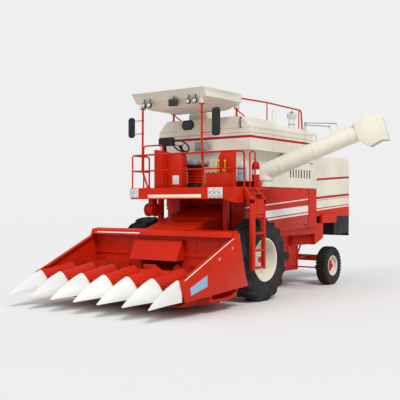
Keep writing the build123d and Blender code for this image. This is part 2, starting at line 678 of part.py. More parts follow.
def canopy():
    """Tray roof: a slanting front, plumb sides, a belly below and pads for the posts."""
    rim_z = CANOPY_Z0 + CANOPY_RIM
    rings = []
    for x, y0, y1, z in ((CANOPY_X - 35, CANOPY_Y0 + 35, CANOPY_Y1 - 35, rim_z + 15),
                         (CANOPY_X, CANOPY_Y0, CANOPY_Y1, rim_z),
                         (CANOPY_X, CANOPY_Y0 + VISOR_DEPTH, CANOPY_Y1, CANOPY_Z0),
                         (CANOPY_X - 270, CANOPY_Y0 + 270, CANOPY_Y1 - 140, CANOPY_Z0 - CANOPY_SAG)):
        rings.append([(-x, y0, z), (x, y0, z), (x, y1, z), (-x, y1, z)])
    pads = [block(s * x - 42, s * x + 42, y - 42, y + 42, CANOPY_Z0 - CANOPY_PAD, CANOPY_Z0 + 10)
            for s in (-1, 1) for x, y in ((POST_X, -940), (REAR_POST_X, 98))]
    return fuse([skin(rings)] + pads)


def visor_z(y):
    """Height of the canopy's slanting front at y."""
    return CANOPY_Z0 + CANOPY_RIM * (CANOPY_Y0 + VISOR_DEPTH - y) / VISOR_DEPTH - 2 * SEAT_GAP


def work_lamps():
    """Headlamp clusters on the fascia, and the lamps and a box that hang from the canopy's front."""
    rear = DECK_Y0 - 30 - SEAT_GAP
    solids = [block(DECK_X0 - 5, -740, rear - 40, rear, DECK_Z - 190, DECK_Z - 10),
              block(930, 1245, rear - 40, rear, DECK_Z - 200, DECK_Z - 10)]
    y0 = CANOPY_Y0 + 75
    y1 = y0 + 20
    for x, half, low, high in ((-591, 48, 125, 25), (-451, 48, 125, 25), (133, 95, 135, 5), (487, 48, 125, 25),
                               (637, 48, 125, 25)):
        body = block(x - half, x + half, y0 - 40, y0 + 30, CANOPY_Z0 - low, CANOPY_Z0 - high)
        stalk = profile_x([(y0, CANOPY_Z0 - high - 5), (y1, CANOPY_Z0 - high - 5), (y1, visor_z(y1)),
                           (y0, visor_z(y0))], x - 12, x + 12)
        solids.append(fuse([body, stalk]))
    return group(solids)


def mirrors():
    """An eight-cornered mirror each side, on two arms from the canopy's front post."""
    solids = []
    for s, x0, x1, low, high in ((1, 960, 1130, 930, 1440), (-1, 915, 1065, 990, 1385)):
        corners = [(s * x, z) for x, z in octagon(x0, x1, DECK_Z + low, DECK_Z + high, 35)]
        parts = [profile_y(corners, -985, -940)]
        for z in (DECK_Z + low + 70, DECK_Z + high - 70):
            parts.append(slim((s * (POST_X + POST_R + SEAT_GAP), -945, z), (s * (x0 + 20), -945, z), 10))
        solids.append(fuse(parts))
    return group(solids)


def console_top(x):
    """Height of the console's sloping top at x."""
    if x < -289:
        return DECK_Z + 756 - 70 * (x + 567) / 278
    return DECK_Z + 686 - 59 * (x + 289) / 368


def control_cabinets():
    """Console on the right of the driver, lever box and arched back plate on the left."""
    tall = profile_y([(-567, DECK_Z), (-289, DECK_Z), (-289, console_top(-289)), (-567, console_top(-567))],
                     -780, -520)
    low = profile_y([(-300, DECK_Z), (79, DECK_Z), (79, console_top(79)), (-300, console_top(-289))],
                    -720, -560)
    box = block(645, 1290, -750, -480, DECK_Z, DECK_Z + 270)
    plate = profile_y([(740, DECK_Z + 265), (1290, DECK_Z + 265), (1290, DECK_Z + 670), (840, DECK_Z + 670),
                       (760, DECK_Z + 530)], -510, -480)
    return group([fuse([tall, low]), fuse([box, plate])])


def levers():
    """Three long levers and four short ones on the lever box."""
    solids = []
    base = DECK_Z + 270 + SEAT_GAP
    for x, y, height, knob in ((720, -570, 210, 18), (830, -570, 220, 18), (970, -570, 210, 18),
                               (690, -695, 50, 15), (800, -695, 50, 15), (910, -695, 50, 15),
                               (1020, -695, 50, 15)):
        stem = slim((x, y, base), (x, y, base + height), 9, 6)
        solids.append(fuse([stem, slim((x, y, base + height - 4), (x, y, base + height + 34), knob)]))
    return group(solids)


def steering_column():
    """Short column on the console with the steering wheel, and the instrument box on its neck."""
    centre = (50, -714, DECK_Z + 800)
    place = Pos(*centre) * Rot(-38, 0, 0)
    section = [(WHEEL_RING_R + 15 * math.cos(math.radians(60 * k)), 15 * math.sin(math.radians(60 * k)))
               for k in range(6)]
    ring = place * (Rot(0, -90, 0) * turned(section, 18))
    spokes = [place * block(-WHEEL_RING_R, WHEEL_RING_R, -11, 11, -8, 6),
              place * block(-11, 11, -WHEEL_RING_R, 0, -8, 6)]
    foot = profile_y([(5, console_top(5) + SEAT_GAP), (75, console_top(75) + SEAT_GAP), (75, DECK_Z + 672),
                      (5, DECK_Z + 672)], -680, -600)
    column = slim((40, -640, DECK_Z + 660), centre, 26)
    neck = profile_y([(-480, console_top(-480) + SEAT_GAP), (-400, console_top(-400) + SEAT_GAP),
                      (-400, DECK_Z + 825), (-480, DECK_Z + 825)], -620, -590)
    instruments = block(-566, -222, -650, -560, DECK_Z + 820, DECK_Z + 985)
    return group([fuse([ring, foot, column] + spokes), fuse([neck, instruments])])


def seat():
    """Cushion on a pedestal and a back pad on its post."""
    pedestal = block(SEAT_X - 140, SEAT_X + 140, -420, -100, DECK_Z, CUSHION_Z + 5)
    cushion = block(SEAT_X - 250, SEAT_X + 250, -520, -60, CUSHION_Z, CUSHION_Z + 100)
    post = block(SEAT_X - 25, SEAT_X + 25, -65, -40, CUSHION_Z + 20, CUSHION_Z + 420)
    pad = block(SEAT_X - 180, SEAT_X + 180, -90, -30, CUSHION_Z + 290, CUSHION_Z + 500)
    return fuse([pedestal, cushion, post, pad])


def bottles():
    """Water canister and fire extinguisher on their shelf at the front wall of the body."""
    z = DECK_Z + SHELF_H
    shelf = block(860, 1350, -70, 110, DECK_Z, z)
    solids = [shelf]
    for x, radius, height, cap in ((960, 88, 330, 40), (1265, 75, 370, 20)):
        solids.append(fuse([slim((x, 20, z), (x, 20, z + height), radius, 16),
                            slim((x, 20, z + height - 5), (x, 20, z + height + 50), cap)]))
    return group(solids)


def ladder():
    """Box rails and treads outside the left drive wheel, closed near the top, up to the landing."""
    x0 = LADDER_X - 35
    x1 = LADDER_X + 35
    edge = LANDING_X + SEAT_GAP
    parts = [block(x0, x1, LADDER_Y0, LADDER_Y0 + 90, LADDER_Z0, LADDER_TOP),
             block(x0, x1, LADDER_Y1 - 60, LADDER_Y1, LADDER_Z0, LADDER_TOP),
             block(x0 + 5, x1 - 5, LADDER_Y0 + 20, LADDER_Y1, LADDER_TOP - 270, LADDER_TOP),
             block(edge, LADDER_X, LADDER_Y0 + 60, LADDER_Y1 - 30, DECK_Z - 130, DECK_Z - 105)]
    for k in range(STEPS):
        z = LADDER_Z0 + 30 + k * STEP_RISE
        parts.append(block(x0, x1, LADDER_Y0 + 80, LADDER_Y1 - 50, z - 20, z + 20))
    for y0, y1 in ((LADDER_Y0, LADDER_Y0 + 60), (LADDER_Y1 - 60, LADDER_Y1)):
        parts.append(profile_y([(edge, DECK_Z - 150), (edge, DECK_Z), (x1, LADDER_TOP + 20),
                                (x1, LADDER_TOP - 80), (x0, LADDER_TOP - 80)], y0, y1))
    return fuse(parts)


def deck_fittings():
    """Pre-cleaner bowl on its pipe, the exhaust stub and the rail behind the tank."""
    z = ROOF_LOW + SEAT_GAP
    pipe = slim((780, 2230, z), (780, 2230, z + 260), 70, 12)
    bowl = slim((780, 2230, z + 255), (780, 2230, z + 370), 105, 20)
    cap = slim((780, 2230, z + 365), (780, 2230, z + 405), 40)
    stub = slim((800, 1450, z), (800, 1450, z + 340), 42, 12)
    y = BODY_Y1 + 240
    rail = tube_run([(860, TANK_Y1 + SEAT_GAP, ROOF_LOW - 30), (860, y, ROOF_LOW - 30),
                     (860, y, HOOD_TOP - 47)], RAIL_R)
    return group([fuse([pipe, bowl, cap]), stub, rail])


# Unloading auger
def auger_base():
    """Upright with the lower turning flange, and its inlet from the body."""
    foot = (SWING_X, SWING_Y, WAIST_Z + 10)
    lip = (SWING_X, SWING_Y, SWING_Z - FLANGE_T)
    upright = slim(foot, lip, SPOUT_R, 32)
    flange = slim(lip, (SWING_X, SWING_Y, SWING_Z - RUN_GAP), SPOUT_R + FLANGE_LIP, 32)
    inlet = block(BODY_X - 5 + SEAT_GAP, SWING_X, SWING_Y - 80, SWING_Y + 80, WAIST_Z + 15, WAIST_Z + 125)
    return fuse([upright, flange, inlet])


def auger_point(along, lift=0.0, aside=0.0):
    """A point beside the tube's middle line, along mm from the elbow."""
    turn = math.radians(AUGER_TURN)
    rise = math.radians(AUGER_RISE)
    out = along * math.cos(rise) - lift * math.sin(rise)
    up = along * math.sin(rise) + lift * math.cos(rise)
    return (SWING_X + out * math.cos(turn) - aside * math.sin(turn),
            SWING_Y + out * math.sin(turn) + aside * math.cos(turn), ELBOW_Z + up)


def unloading_auger():
    """Elbow on the upper turning flange, the long tube, its two lugs and the hooded spout."""
    bend = 0.4 * SPOUT_R
    path = Polyline((SWING_X, SWING_Y, SWING_Z), (SWING_X, SWING_Y, ELBOW_Z - bend), auger_point(bend),
                    auger_point(AUGER_LEN))
    tube = sweep(Pos(SWING_X, SWING_Y, SWING_Z) * Circle(SPOUT_R), path=path, transition=Transition.RIGHT)
    flange = rod((SWING_X, SWING_Y, SWING_Z), (SWING_X, SWING_Y, SWING_Z + FLANGE_T), SPOUT_R + FLANGE_LIP)
    lug_top = auger_point(STAY_ENDS[0], STAY_LIFT)[2] - STAY_R - 10
    lugs = []
    for along in STAY_ENDS:
        x, y, z = auger_point(along, 0, STAY_ASIDE)
        lugs.append(block(x - 25, x + 25, y - 12, y + 12, z + SPOUT_R - 20, lug_top))
    return fuse([tube, flange, spout_shell()] + lugs)


def spout_shell():
    """A box mouth with a bent back that opens downwards."""
    turn = math.radians(AUGER_TURN)
    x, y, z = auger_point(AUGER_LEN)
    plane = Plane(origin=(x, y, z), x_dir=(math.cos(turn), math.sin(turn), 0),
                  z_dir=(math.sin(turn), -math.cos(turn), 0))
    outline = [(-200, 120), (0, 205), (250, 265), (330, 225), (460, -215), (330, -215), (110, -330),
               (-90, -215)]
    hollow = [(150, -340), (80, -230), (80, 170), (250, 232), (305, 200), (425, -230), (425, -340)]
    outer = extrude(plane * make_face(Polyline(*outline, close=True)), amount=180, both=True)
    inner = extrude(plane * make_face(Polyline(*hollow, close=True)), amount=160, both=True)
    return outer - inner


def auger_stays():
    """Two thin stays from the tank's rear corner to the end of the tube."""
    bars = [slim((STAY_X, STAY_Y, STAY_Z0 + rise), auger_point(along, STAY_LIFT, STAY_ASIDE), STAY_R)
            for along, rise in zip(STAY_ENDS, (30, 75))]
    hinge = rod((STAY_X, STAY_Y, STAY_Z0), (STAY_X, STAY_Y, STAY_Z0 + 100), 20)
    return fuse(bars + [hinge])


# Feeder house and header
def feeder_house():
    """Sloping conveyor casing with its mouth, the lift bearings and the ears of the cylinders."""
    side = [(LIFT_Y + 100, LIFT_Z + 290), (-200, LIFT_Z + 120), (BEAM_Y, 1290), (BEAM_Y, 400), (-1100, 400),
            (-1000, 480), (290, LIFT_Z - 280), (LIFT_Y + 100, LIFT_Z - 200)]
    inside = [(BEAM_Y - 10, 450), (-1010, 545), (-640, 765), (-640, 1110), (BEAM_Y - 10, 900)]
    ears = [block(s * CYL_X + t - 9, s * CYL_X + t + 9, -955, -845, CYL_FRONT[1] - 40, 600)
            for s in (-1, 1) for t in (-38, 38)]
    bore = rod((FEEDER_X - LIFT_PIN_IN, LIFT_Y, LIFT_Z), (FEEDER_X + 1, LIFT_Y, LIFT_Z), LIFT_PIN_R + RUN_GAP)
    casing = profile_x(side, -FEEDER_X, FEEDER_X) - profile_x(inside, -480, 480)
    return fuse([casing] + ears) - both_sides(bore)


def header_frame():
    """Back wall with its rib, top beam, trough, belly pan and the cover over the feeder's mouth."""
    x = PLATE_X - PLATE_T - SEAT_GAP
    y = BEAM_Y - SEAT_GAP
    wall = block(-x, x, y - 30, y, 330, BEAM_TOP)
    rib = block(-x, x, y - 55, y - 25, 870, 900)
    mouth = block(-480, 480, y - 70, y + 10, 420, 900)
    beam = profile_x([(y, BEAM_TOP), (y - 150, BEAM_TOP - 20), (y - 190, BEAM_TOP - 110), (y, BEAM_TOP - 130)],
                     -x, x)
    floor = profile_x([(y - 30, 335), (y, 335), (y - 120, TROUGH_Z + 25), (-1500, TROUGH_Z), (SILL_Y, TROUGH_Z),
                       (SILL_Y, TROUGH_Z + 30), (-1500, TROUGH_Z + 30), (y - 150, TROUGH_Z + 57)], -x, x)
    sill = block(-x, x, SILL_Y - SILL_T, SILL_Y, TROUGH_Z, 430)
    belly = profile_x([(-2325, BELLY_Z + 29), (-1226, BELLY_Z), (-917, BELLY_Z + 152), (-930, BELLY_Z + 185),
                       (y, BELLY_Z + 245), (y - 30, BELLY_Z + 245), (-1400, TROUGH_Z + 10),
                       (-2040, TROUGH_Z + 10), (-2325, BELLY_Z + 60)], -1300, 1300)
    cover = profile_x([(y - 25, 1160), (y - 120, 1150), (y - 300, 790), (y - 25, 800)], -FEEDER_X, FEEDER_X)
    return fuse([fuse([wall, rib]) - mouth, beam, floor, sill, belly, cover])


def plate_edge(y):
    """Height of an end plate's slanting top edge at y."""
    return 580 + (y + 2784) * 0.4503


def header_sides():
    """End plates cut to the header's side outline, with a bent lip along the slanting edge."""
    outline = [(-2706, 272), (-2784, 580), (-1347, plate_edge(-1347)), (-1330, 1310), (-1190, 1310),
               (-1007, 580), (-917, 385)]
    plate = profile_x(outline, PLATE_X - PLATE_T, PLATE_X)
    lip = profile_x([(-2600, plate_edge(-2600)), (-1400, plate_edge(-1400)), (-1400, plate_edge(-1400) - 25),
                     (-2600, plate_edge(-2600) - 25)], PLATE_X - PLATE_T - PLATE_LIP, PLATE_X - 5)
    bore = rod((PLATE_X - PLATE_T - 10, CROSS_Y, CROSS_Z), (PLATE_X - 10, CROSS_Y, CROSS_Z),
               CROSS_STUB_R + RUN_GAP)
    return group(both_sides(fuse([plate, lip]) - bore))


def snout_x(index):
    return (index - ROWS / 2) * ROW_PITCH


def snouts():
    """The pointed row dividers. Each step towards the tip is a smaller copy of the rear section."""
    solids = []
    for i in range(ROWS + 1):
        x = snout_x(i)
        left = PLATE_X - PLATE_T - SEAT_GAP - x if i == ROWS else SNOUT_HALF
        right = PLATE_X - PLATE_T - SEAT_GAP + x if i == 0 else SNOUT_HALF
        height = SNOUT_TOP_Z - SNOUT_BASE_Z
        section = [(-right, 0), (left, 0), (left, 0.24 * height), (0.62 * left, 0.68 * height),
                   (0.2 * left, 0.97 * height), (0, height), (-0.2 * right, 0.97 * height),
                   (-0.62 * right, 0.68 * height), (-right, 0.24 * height)]
        rings = []
        middle_y = (SNOUT_BASE_Y + SNOUT_TIP_Y) / 2
        for size, y, z in ((1, SNOUT_BASE_Y, SNOUT_BASE_Z), (0.62, middle_y, SNOUT_BASE_Z - 22),
                           (0.07, SNOUT_TIP_Y, SNOUT_TIP_Z - 12)):
            rings.append([(x + size * px, y, z + size * pz) for px, pz in section])
        solids.append(skin(rings))
    return group(solids)


def row_hoods():
    """Red hoods that carry each snout's line back to the trough."""
    solids = []
    front = SNOUT_BASE_Y + SEAT_GAP
    for i in range(ROWS + 1):
        x = snout_x(i)
        left = PLATE_X - PLATE_T - SEAT_GAP - x if i == ROWS else HOOD_HALF
        right = PLATE_X - PLATE_T - SEAT_GAP + x if i == 0 else HOOD_HALF
        rings = []
        for y, rise in ((front, 0), (ROW_END_Y, HOOD_RISE)):
            z = SNOUT_TOP_Z - 8 + rise
            rings.append([(x - right, y, 380), (x + left, y, 380), (x + left, y, z - 130),
                          (x + 0.42 * left, y, z - 26), (x + 0.14 * left, y, z), (x - 0.14 * right, y, z),
                          (x - 0.42 * right, y, z - 26), (x - right, y, z - 130)])
        solids.append(skin(rings))
    return group(solids)


def gathering_chain(x, way):
    """An oval loop with lugs on the row's side; way is +1 when that side is to the right."""
    y0 = -2690
    y1 = ROW_END_Y - 70
    loop = [(y0, 0.5), (y0 + 18, 1), (y1 - 18, 1), (y1, 0.5), (y1, -0.5), (y1 - 18, -1), (y0 + 18, -1),
            (y0, -0.5)]
    z = DECK_TOP - 1
    outer = [(x + side * CHAIN_HALF, y, z) for y, side in loop]
    inner = [(x + side * (CHAIN_HALF - 12), y + (12 if y < -2400 else -12), z) for y, side in loop]
    chain = extrude(make_face(Polyline(*outer, close=True)), amount=CHAIN_T, dir=(0, 0, 1))
    chain -= extrude(make_face(Polyline(*inner, close=True)), amount=CHAIN_T, dir=(0, 0, 1))
    ends = sorted((x - way * (CHAIN_HALF + 24), x - way * (CHAIN_HALF - 4)))
    for k in range(CHAIN_LUGS):
        y = y0 + 50 + k * (y1 - y0 - 80) / (CHAIN_LUGS - 1)
        chain += block(*ends, y, y + 16, z, z + CHAIN_T)
    return chain


def snapping_roll(x):
    """A roll with four ribs."""
    star = []
    for k in range(4):
        for offset, radius in ((-9, ROLL_R), (9, ROLL_R), (30, ROLL_R - 15), (60, ROLL_R - 15)):
            turn = math.radians(90 * k + offset)
            star.append((x + radius * math.cos(turn), ROLL_Z + radius * math.sin(turn)))
    return profile_y(star, -2700, ROW_END_Y - 100)


def row_units():
    """Between each pair of hoods: deck plates, gathering chains, snapping rolls and a gearbox."""
    solids = []
    outer = ROW_PITCH / 2 - HOOD_HALF - SEAT_GAP
    for i in range(ROWS):
        x = (snout_x(i) + snout_x(i + 1)) / 2
        parts = [block(x - outer, x + outer, ROW_END_Y - 160, ROW_END_Y, 290, DECK_TOP)]
        for s in (-1, 1):
            edges = sorted((x + s * DECK_SLOT, x + s * outer))
            parts.append(block(*edges, -2740, ROW_END_Y - 150, DECK_TOP - 12, DECK_TOP))
            parts.append(gathering_chain(x + s * CHAIN_X, s))
            parts.append(snapping_roll(x + s * ROLL_X))
        solids.append(fuse(parts))
    return group(solids)


def cross_auger():
    """Tube with left- and right-hand flights that bring the crop to the middle."""
    end = PLATE_X - PLATE_T - 60
    tube = slim((-end, 0, 0), (end, 0, 0), CROSS_TUBE_R, 12)
    stub = PLATE_X - 15
    stubs = rod((-stub, 0, 0), (stub, 0, 0), CROSS_STUB_R)
    step = FLIGHT_PITCH / FLIGHT_STEPS
    count = int((end - FLIGHT_START) / step)
    flights = []
    for s in (-1, 1):
        rings = []
        for k in range(count + 1):
            x = s * (FLIGHT_START + k * step)
            turn = 360 * k / FLIGHT_STEPS
            corners = ((-1, CROSS_TUBE_R - 7), (1, CROSS_TUBE_R - 7), (1, CROSS_R), (-1, CROSS_R))
            rings.append([on_wheel(x + way * FLIGHT_T / 2, turn, radius) for way, radius in corners])
        flights.append(skin(rings, split=True))
    return Pos(0, CROSS_Y, CROSS_Z) * fuse([tube, stubs] + flights)


# Lift cylinders, one each side, from the axle's ears to the feeder's belly
def cylinder_point(share):
    y0, z0 = CYL_BACK
    y1, z1 = CYL_FRONT
    return (y0 + share * (y1 - y0), z0 + share * (z1 - z0))


def lift_barrels():
    solids = []
    for s in (-1, 1):
        x = s * CYL_X
        barrel = slim((x, *cylinder_point(0.10)), (x, *cylinder_point(0.68)), CYL_R, 16)
        neck = slim((x, *CYL_BACK), (x, *cylinder_point(0.12)), 26)
        eye = slim((x - EYE_HALF, *CYL_BACK), (x + EYE_HALF, *CYL_BACK), 42, 12)
        bore = rod((x, *cylinder_point(0.12)), (x, *cylinder_point(0.8)), ROD_R + RUN_GAP)
        pin_bore = rod((x - 60, *CYL_BACK), (x + 60, *CYL_BACK), CYL_PIN_R + RUN_GAP)
        solids.append(fuse([barrel, neck, eye]) - bore - pin_bore)
    return group(solids)


def lift_rods():
    solids = []
    for s in (-1, 1):
        x = s * CYL_X
        stem = rod((x, *cylinder_point(0.3)), (x, *cylinder_point(1.0)), ROD_R)
        eye = slim((x - EYE_HALF, *CYL_FRONT), (x + EYE_HALF, *CYL_FRONT), 38, 12)
        solids.append(fuse([stem, eye]))
    return group(solids)


NODES = {
    "chassis_frame": chassis_frame(),
    "drive_axle": drive_axle(),
    "rear_axle": rear_axle(),
    "separator_body": separator_body(),
    "side_shields": side_shields(),
    "upper_walls": upper_walls(),
    "upper_covers": upper_covers(),
    "sieve_box": sieve_box(),
    "straw_hood": straw_hood(),
    "hood_curtain": hood_curtain(),
    "engine": engine(),
    "tank_body": tank_body(),
    "tank_roof": tank_roof(),
    "tank_lid": tank_lid(),
    "sight_glass": sight_glass(),
    "grain_elevator": grain_elevator(),
    "platform_deck": platform_deck(),
    "front_supports": front_supports(),
    "platform_rails": platform_rails(),
    "canopy_frame": canopy_frame(),
    "canopy": canopy(),
    "work_lamps": work_lamps(),
    "mirrors": mirrors(),
    "control_cabinets": control_cabinets(),
    "levers": levers(),
    "steering_column": steering_column(),
    "seat": seat(),
    "bottles": bottles(),
    "ladder": ladder(),
    "deck_fittings": deck_fittings(),
    "auger_base": auger_base(),
    "unloading_auger": unloading_auger(),
    "auger_stays": auger_stays(),
    "feeder_house": feeder_house(),
    "header_frame": header_frame(),
    "header_sides": header_sides(),
    "snouts": snouts(),
    "row_hoods": row_hoods(),
    "row_units": row_units(),
    "cross_auger": cross_auger(),
    "lift_barrels": lift_barrels(),
    "lift_rods": lift_rods(),
    "tie_rod": tie_rod(),
}
for name, side in (("left", 1), ("right", -1)):
    NODES[f"drive_tyre_{name}"] = drive_tyre(side)
    NODES[f"drive_rim_{name}"] = drive_rim(side)
    NODES[f"steer_tyre_{name}"] = steer_tyre(side)
    NODES[f"steer_rim_{name}"] = steer_rim(side)
    NODES[f"knuckle_{name}"] = knuckle(side)

for node, shape in NODES.items():
    save(node, shape)
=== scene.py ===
"""The looks of a self-propelled combine harvester with a six-row maize header.

Metres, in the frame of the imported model: -Y is the way it drives, +X its left side, +Z up.
"""
import bmesh
import bpy
import math
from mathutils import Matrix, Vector


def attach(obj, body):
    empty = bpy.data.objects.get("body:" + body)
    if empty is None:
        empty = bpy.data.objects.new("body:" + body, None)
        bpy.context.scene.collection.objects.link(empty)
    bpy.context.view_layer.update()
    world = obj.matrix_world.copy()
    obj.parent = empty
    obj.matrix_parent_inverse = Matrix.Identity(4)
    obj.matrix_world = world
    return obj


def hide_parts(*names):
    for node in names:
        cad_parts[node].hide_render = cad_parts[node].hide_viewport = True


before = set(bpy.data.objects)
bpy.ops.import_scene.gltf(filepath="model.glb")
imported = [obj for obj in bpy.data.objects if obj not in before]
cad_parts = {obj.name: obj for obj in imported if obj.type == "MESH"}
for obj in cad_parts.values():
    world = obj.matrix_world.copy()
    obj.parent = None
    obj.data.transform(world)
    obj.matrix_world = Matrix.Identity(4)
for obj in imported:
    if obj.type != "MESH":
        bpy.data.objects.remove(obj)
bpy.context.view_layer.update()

# Camera
# It stands at the left front corner, about eye high, and looks almost level.
bpy.ops.object.camera_add(location=(8.798, -11.809, 1.812), rotation=(math.radians(90.32), 0, 0.642))
camera = bpy.context.object
camera.data.lens = 66.7
camera.data.clip_end = 200
bpy.context.scene.camera = camera

# Floor and light
# A plain pale floor, a soft high sun from the machine's left front, and an even pale surround.
bpy.ops.mesh.primitive_plane_add(size=120, location=(0, 0, 0))
floor = bpy.context.object
floor.name = "floor"
floor_paint = bpy.data.materials.new("pale_floor")
floor_paint.use_nodes = True
floor_shader = floor_paint.node_tree.nodes["Principled BSDF"]
floor_shader.inputs["Base Color"].default_value = (0.8, 0.8, 0.79, 1)
floor_shader.inputs["Roughness"].default_value = 0.9
floor.data.materials.append(floor_paint)

world = bpy.data.worlds.new("surround")
bpy.context.scene.world = world
world.use_nodes = True
world_nodes, world_links = world.node_tree.nodes, world.node_tree.links
sky = world_nodes["Background"]
sky.inputs["Color"].default_value = (0.92, 0.93, 0.95, 1)
sky.inputs["Strength"].default_value = 0.58
backdrop = world_nodes.new("ShaderNodeBackground")
backdrop.inputs["Color"].default_value = (0.86, 0.86, 0.86, 1)
choose = world_nodes.new("ShaderNodeMixShader")
world_links.new(world_nodes.new("ShaderNodeLightPath").outputs["Is Camera Ray"], choose.inputs["Fac"])
world_links.new(sky.outputs["Background"], choose.inputs[1])
world_links.new(backdrop.outputs["Background"], choose.inputs[2])
world_links.new(choose.outputs["Shader"], world_nodes["World Output"].inputs["Surface"])

for where, strength, softness in (((9, -6, 11), 1.95, 0.3), ((-3, -12, 6), 0.75, 0.6)):
    bpy.ops.object.light_add(type="SUN", location=where)
    sun = bpy.context.object
    sun.data.energy = strength
    sun.data.angle = softness
    sun.rotation_mode = "QUATERNION"
    sun.rotation_quaternion = (-sun.location).to_track_quat("-Z", "Y")

bpy.context.scene.view_settings.view_transform = "Standard"


# Frame rails and axles
# Welded box section in sprayed red enamel, with a little dust and a few chips low down.
RED = (0.58, 0.017, 0.002)
DUST = (0.26, 0.17, 0.11)
BARE_IRON = (0.055, 0.045, 0.04)


def add(material, kind, **values):
    """A new node in a material, with its plain settings and socket values."""
    made = material.node_tree.nodes.new(kind)
    for key, value in values.items():
        if hasattr(made, key):
            setattr(made, key, value)
        else:
            made.inputs[key.replace("_", " ")].default_value = value
    return made


def join(material, source, output, target, socket):
    """Links an output of one node to a socket of another."""
    material.node_tree.links.new(source.outputs[output], target.inputs[socket])


def start(name, roughness, metal=0.0, coat=0.0):
    """A new material, its shader and its Object coordinates."""
    material = bpy.data.materials.new(name)
    material.use_nodes = True
    shader = material.node_tree.nodes["Principled BSDF"]
    shader.inputs["Roughness"].default_value = roughness
    shader.inputs["Metallic"].default_value = metal
    shader.inputs["Coat Weight"].default_value = coat
    shader.inputs["Coat Roughness"].default_value = 0.12
    return material, shader, add(material, "ShaderNodeTexCoord")


def blend(material, factor, dark, light):
    """Two colours, or a colour and an earlier mix, mixed by a factor node."""
    mixed = add(material, "ShaderNodeMix", data_type="RGBA")
    join(material, factor, 0, mixed, "Factor")
    for value, socket in ((dark, 6), (light, 7)):
        if isinstance(value, tuple):
            mixed.inputs[socket].default_value = (*value, 1)
        else:
            join(material, value, 2, mixed, socket)
    return mixed


def span(material, source, output, low, high):
    """A smooth 0 to 1 between two values of a number."""
    made = add(material, "ShaderNodeMapRange", interpolation_type="SMOOTHSTEP", From_Min=low, From_Max=high)
    join(material, source, output, made, "Value")
    return made


def reckon(material, operation, first, second, output=0):
    """One number made of two: an output of a node, and a plain value or another node."""
    made = add(material, "ShaderNodeMath", operation=operation)
    join(material, first, output, made, 0)
    if isinstance(second, (int, float)):
        made.inputs[1].default_value = second
    else:
        join(material, second, 0, made, 1)
    return made


def split(material, where):
    """The three Object coordinates by themselves."""
    made = add(material, "ShaderNodeSeparateXYZ")
    join(material, where, "Object", made, "Vector")
    return made


def noise(material, where, scale, detail):
    """Cloudy noise over the Object coordinates."""
    made = add(material, "ShaderNodeTexNoise", Scale=scale, Detail=detail)
    join(material, where, "Object", made, "Vector")
    return made


def patches(material, where, scale, detail, low, high):
    """Cloudy patches of 0 to 1."""
    return span(material, noise(material, where, scale, detail), "Fac", low, high)


def surface(material, shader, where, colour, scale, detail, strength, depth):
    """Gives a material its colour mix and a fine grain."""
    join(material, colour, 2, shader, "Base Color")
    grain = add(material, "ShaderNodeBump", Strength=strength, Distance=depth)
    join(material, noise(material, where, scale, detail), "Fac", grain, "Height")
    join(material, grain, "Normal", shader, "Normal")
    return material


def stripe(material, where, under, colour, height, slope, width):
    """A painted band over an earlier mix. Its lower edge rises by slope along Y from height at Y 0."""
    apart = split(material, where)
    above = reckon(material, "SUBTRACT", apart, reckon(material, "MULTIPLY", apart, slope, "Y"), "Z")
    inside = reckon(material, "MULTIPLY", reckon(material, "GREATER_THAN", above, height),
                    reckon(material, "LESS_THAN", above, height + width))
    return blend(material, inside, under, colour)


def enamel(name, colour, roughness=0.36, dusty=0.16, low=0.2, high=1.3, bands=(), chips=0.0):
    """Sprayed enamel: slightly uneven colour, fine orange peel, dust that thins out upwards, and
    chips down to the iron where stubble and stones reach."""
    material, shader, where = start(name, roughness, coat=0.02)
    shader.inputs["Specular IOR Level"].default_value = 0.14
    painted = blend(material, patches(material, where, 1.1, 4, 0.3, 0.7), tuple(0.84 * c for c in colour), colour)
    for band in bands:
        painted = stripe(material, where, painted, *band)
    near_ground = span(material, split(material, where), "Z", high, low)
    for over, share, cloud in ((DUST, dusty, (24, 8, 0.4, 0.8)), (BARE_IRON, chips, (46, 5, 0.66, 0.69))):
        if share:
            spots = reckon(material, "MULTIPLY", near_ground, patches(material, where, *cloud))
            painted = blend(material, reckon(material, "MULTIPLY", spots, share), painted, over)
    return surface(material, shader, where, painted, 160, 2, 0.06, 0.002)


def finish_node(material, *nodes):
    """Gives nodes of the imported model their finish."""
    for node in nodes:
        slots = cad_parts[node].data.materials
        slots.clear()
        slots.append(material)


red = enamel("red_enamel", RED, chips=0.8)
finish_node(red, "chassis_frame", "drive_axle", "rear_axle", "knuckle_left", "knuckle_right", "tie_rod", "sieve_box")

# Drive tyres
# Black rubber with an open chevron tread: long bars that run from the middle down over the shoulder.
# The carcass is spun from its outline, and one bar each way is modelled and carried round it.
CREAM = (0.78, 0.745, 0.62)
DRIVE_HUB = (1.29, 0.0, 0.775)
BARS = 17
BAR_STEP = math.tau / BARS
ACROSS, AHEAD, BACK, UP = (1, 0, 0), (0, -1, 0), (0, 1, 0), (0, 0, 1)
SIDES = (("left", 1), ("right", -1))


def rubber(name, colour, dusty):
    """Aged rubber: greyer where it is worn, and with a film of dust in patches."""
    material, shader, where = start(name, 0.74)
    shader.inputs["Specular IOR Level"].default_value = 0.3
    grey = tuple(min(1, 1.8 * c + 0.006) for c in colour)
    aged = blend(material, patches(material, where, 6, 6, 0.35, 0.8), colour, grey)
    film = reckon(material, "MULTIPLY", patches(material, where, 2.2, 5, 0.45, 0.8), dusty)
    return surface(material, shader, where, blend(material, film, aged, DUST), 220, 3, 0.25, 0.002)


def pick(*pieces):
    """Selects pieces, and makes the first one active."""
    bpy.ops.object.select_all(action="DESELECT")
    for piece in pieces:
        piece.select_set(True)
    bpy.context.view_layer.objects.active = pieces[0]


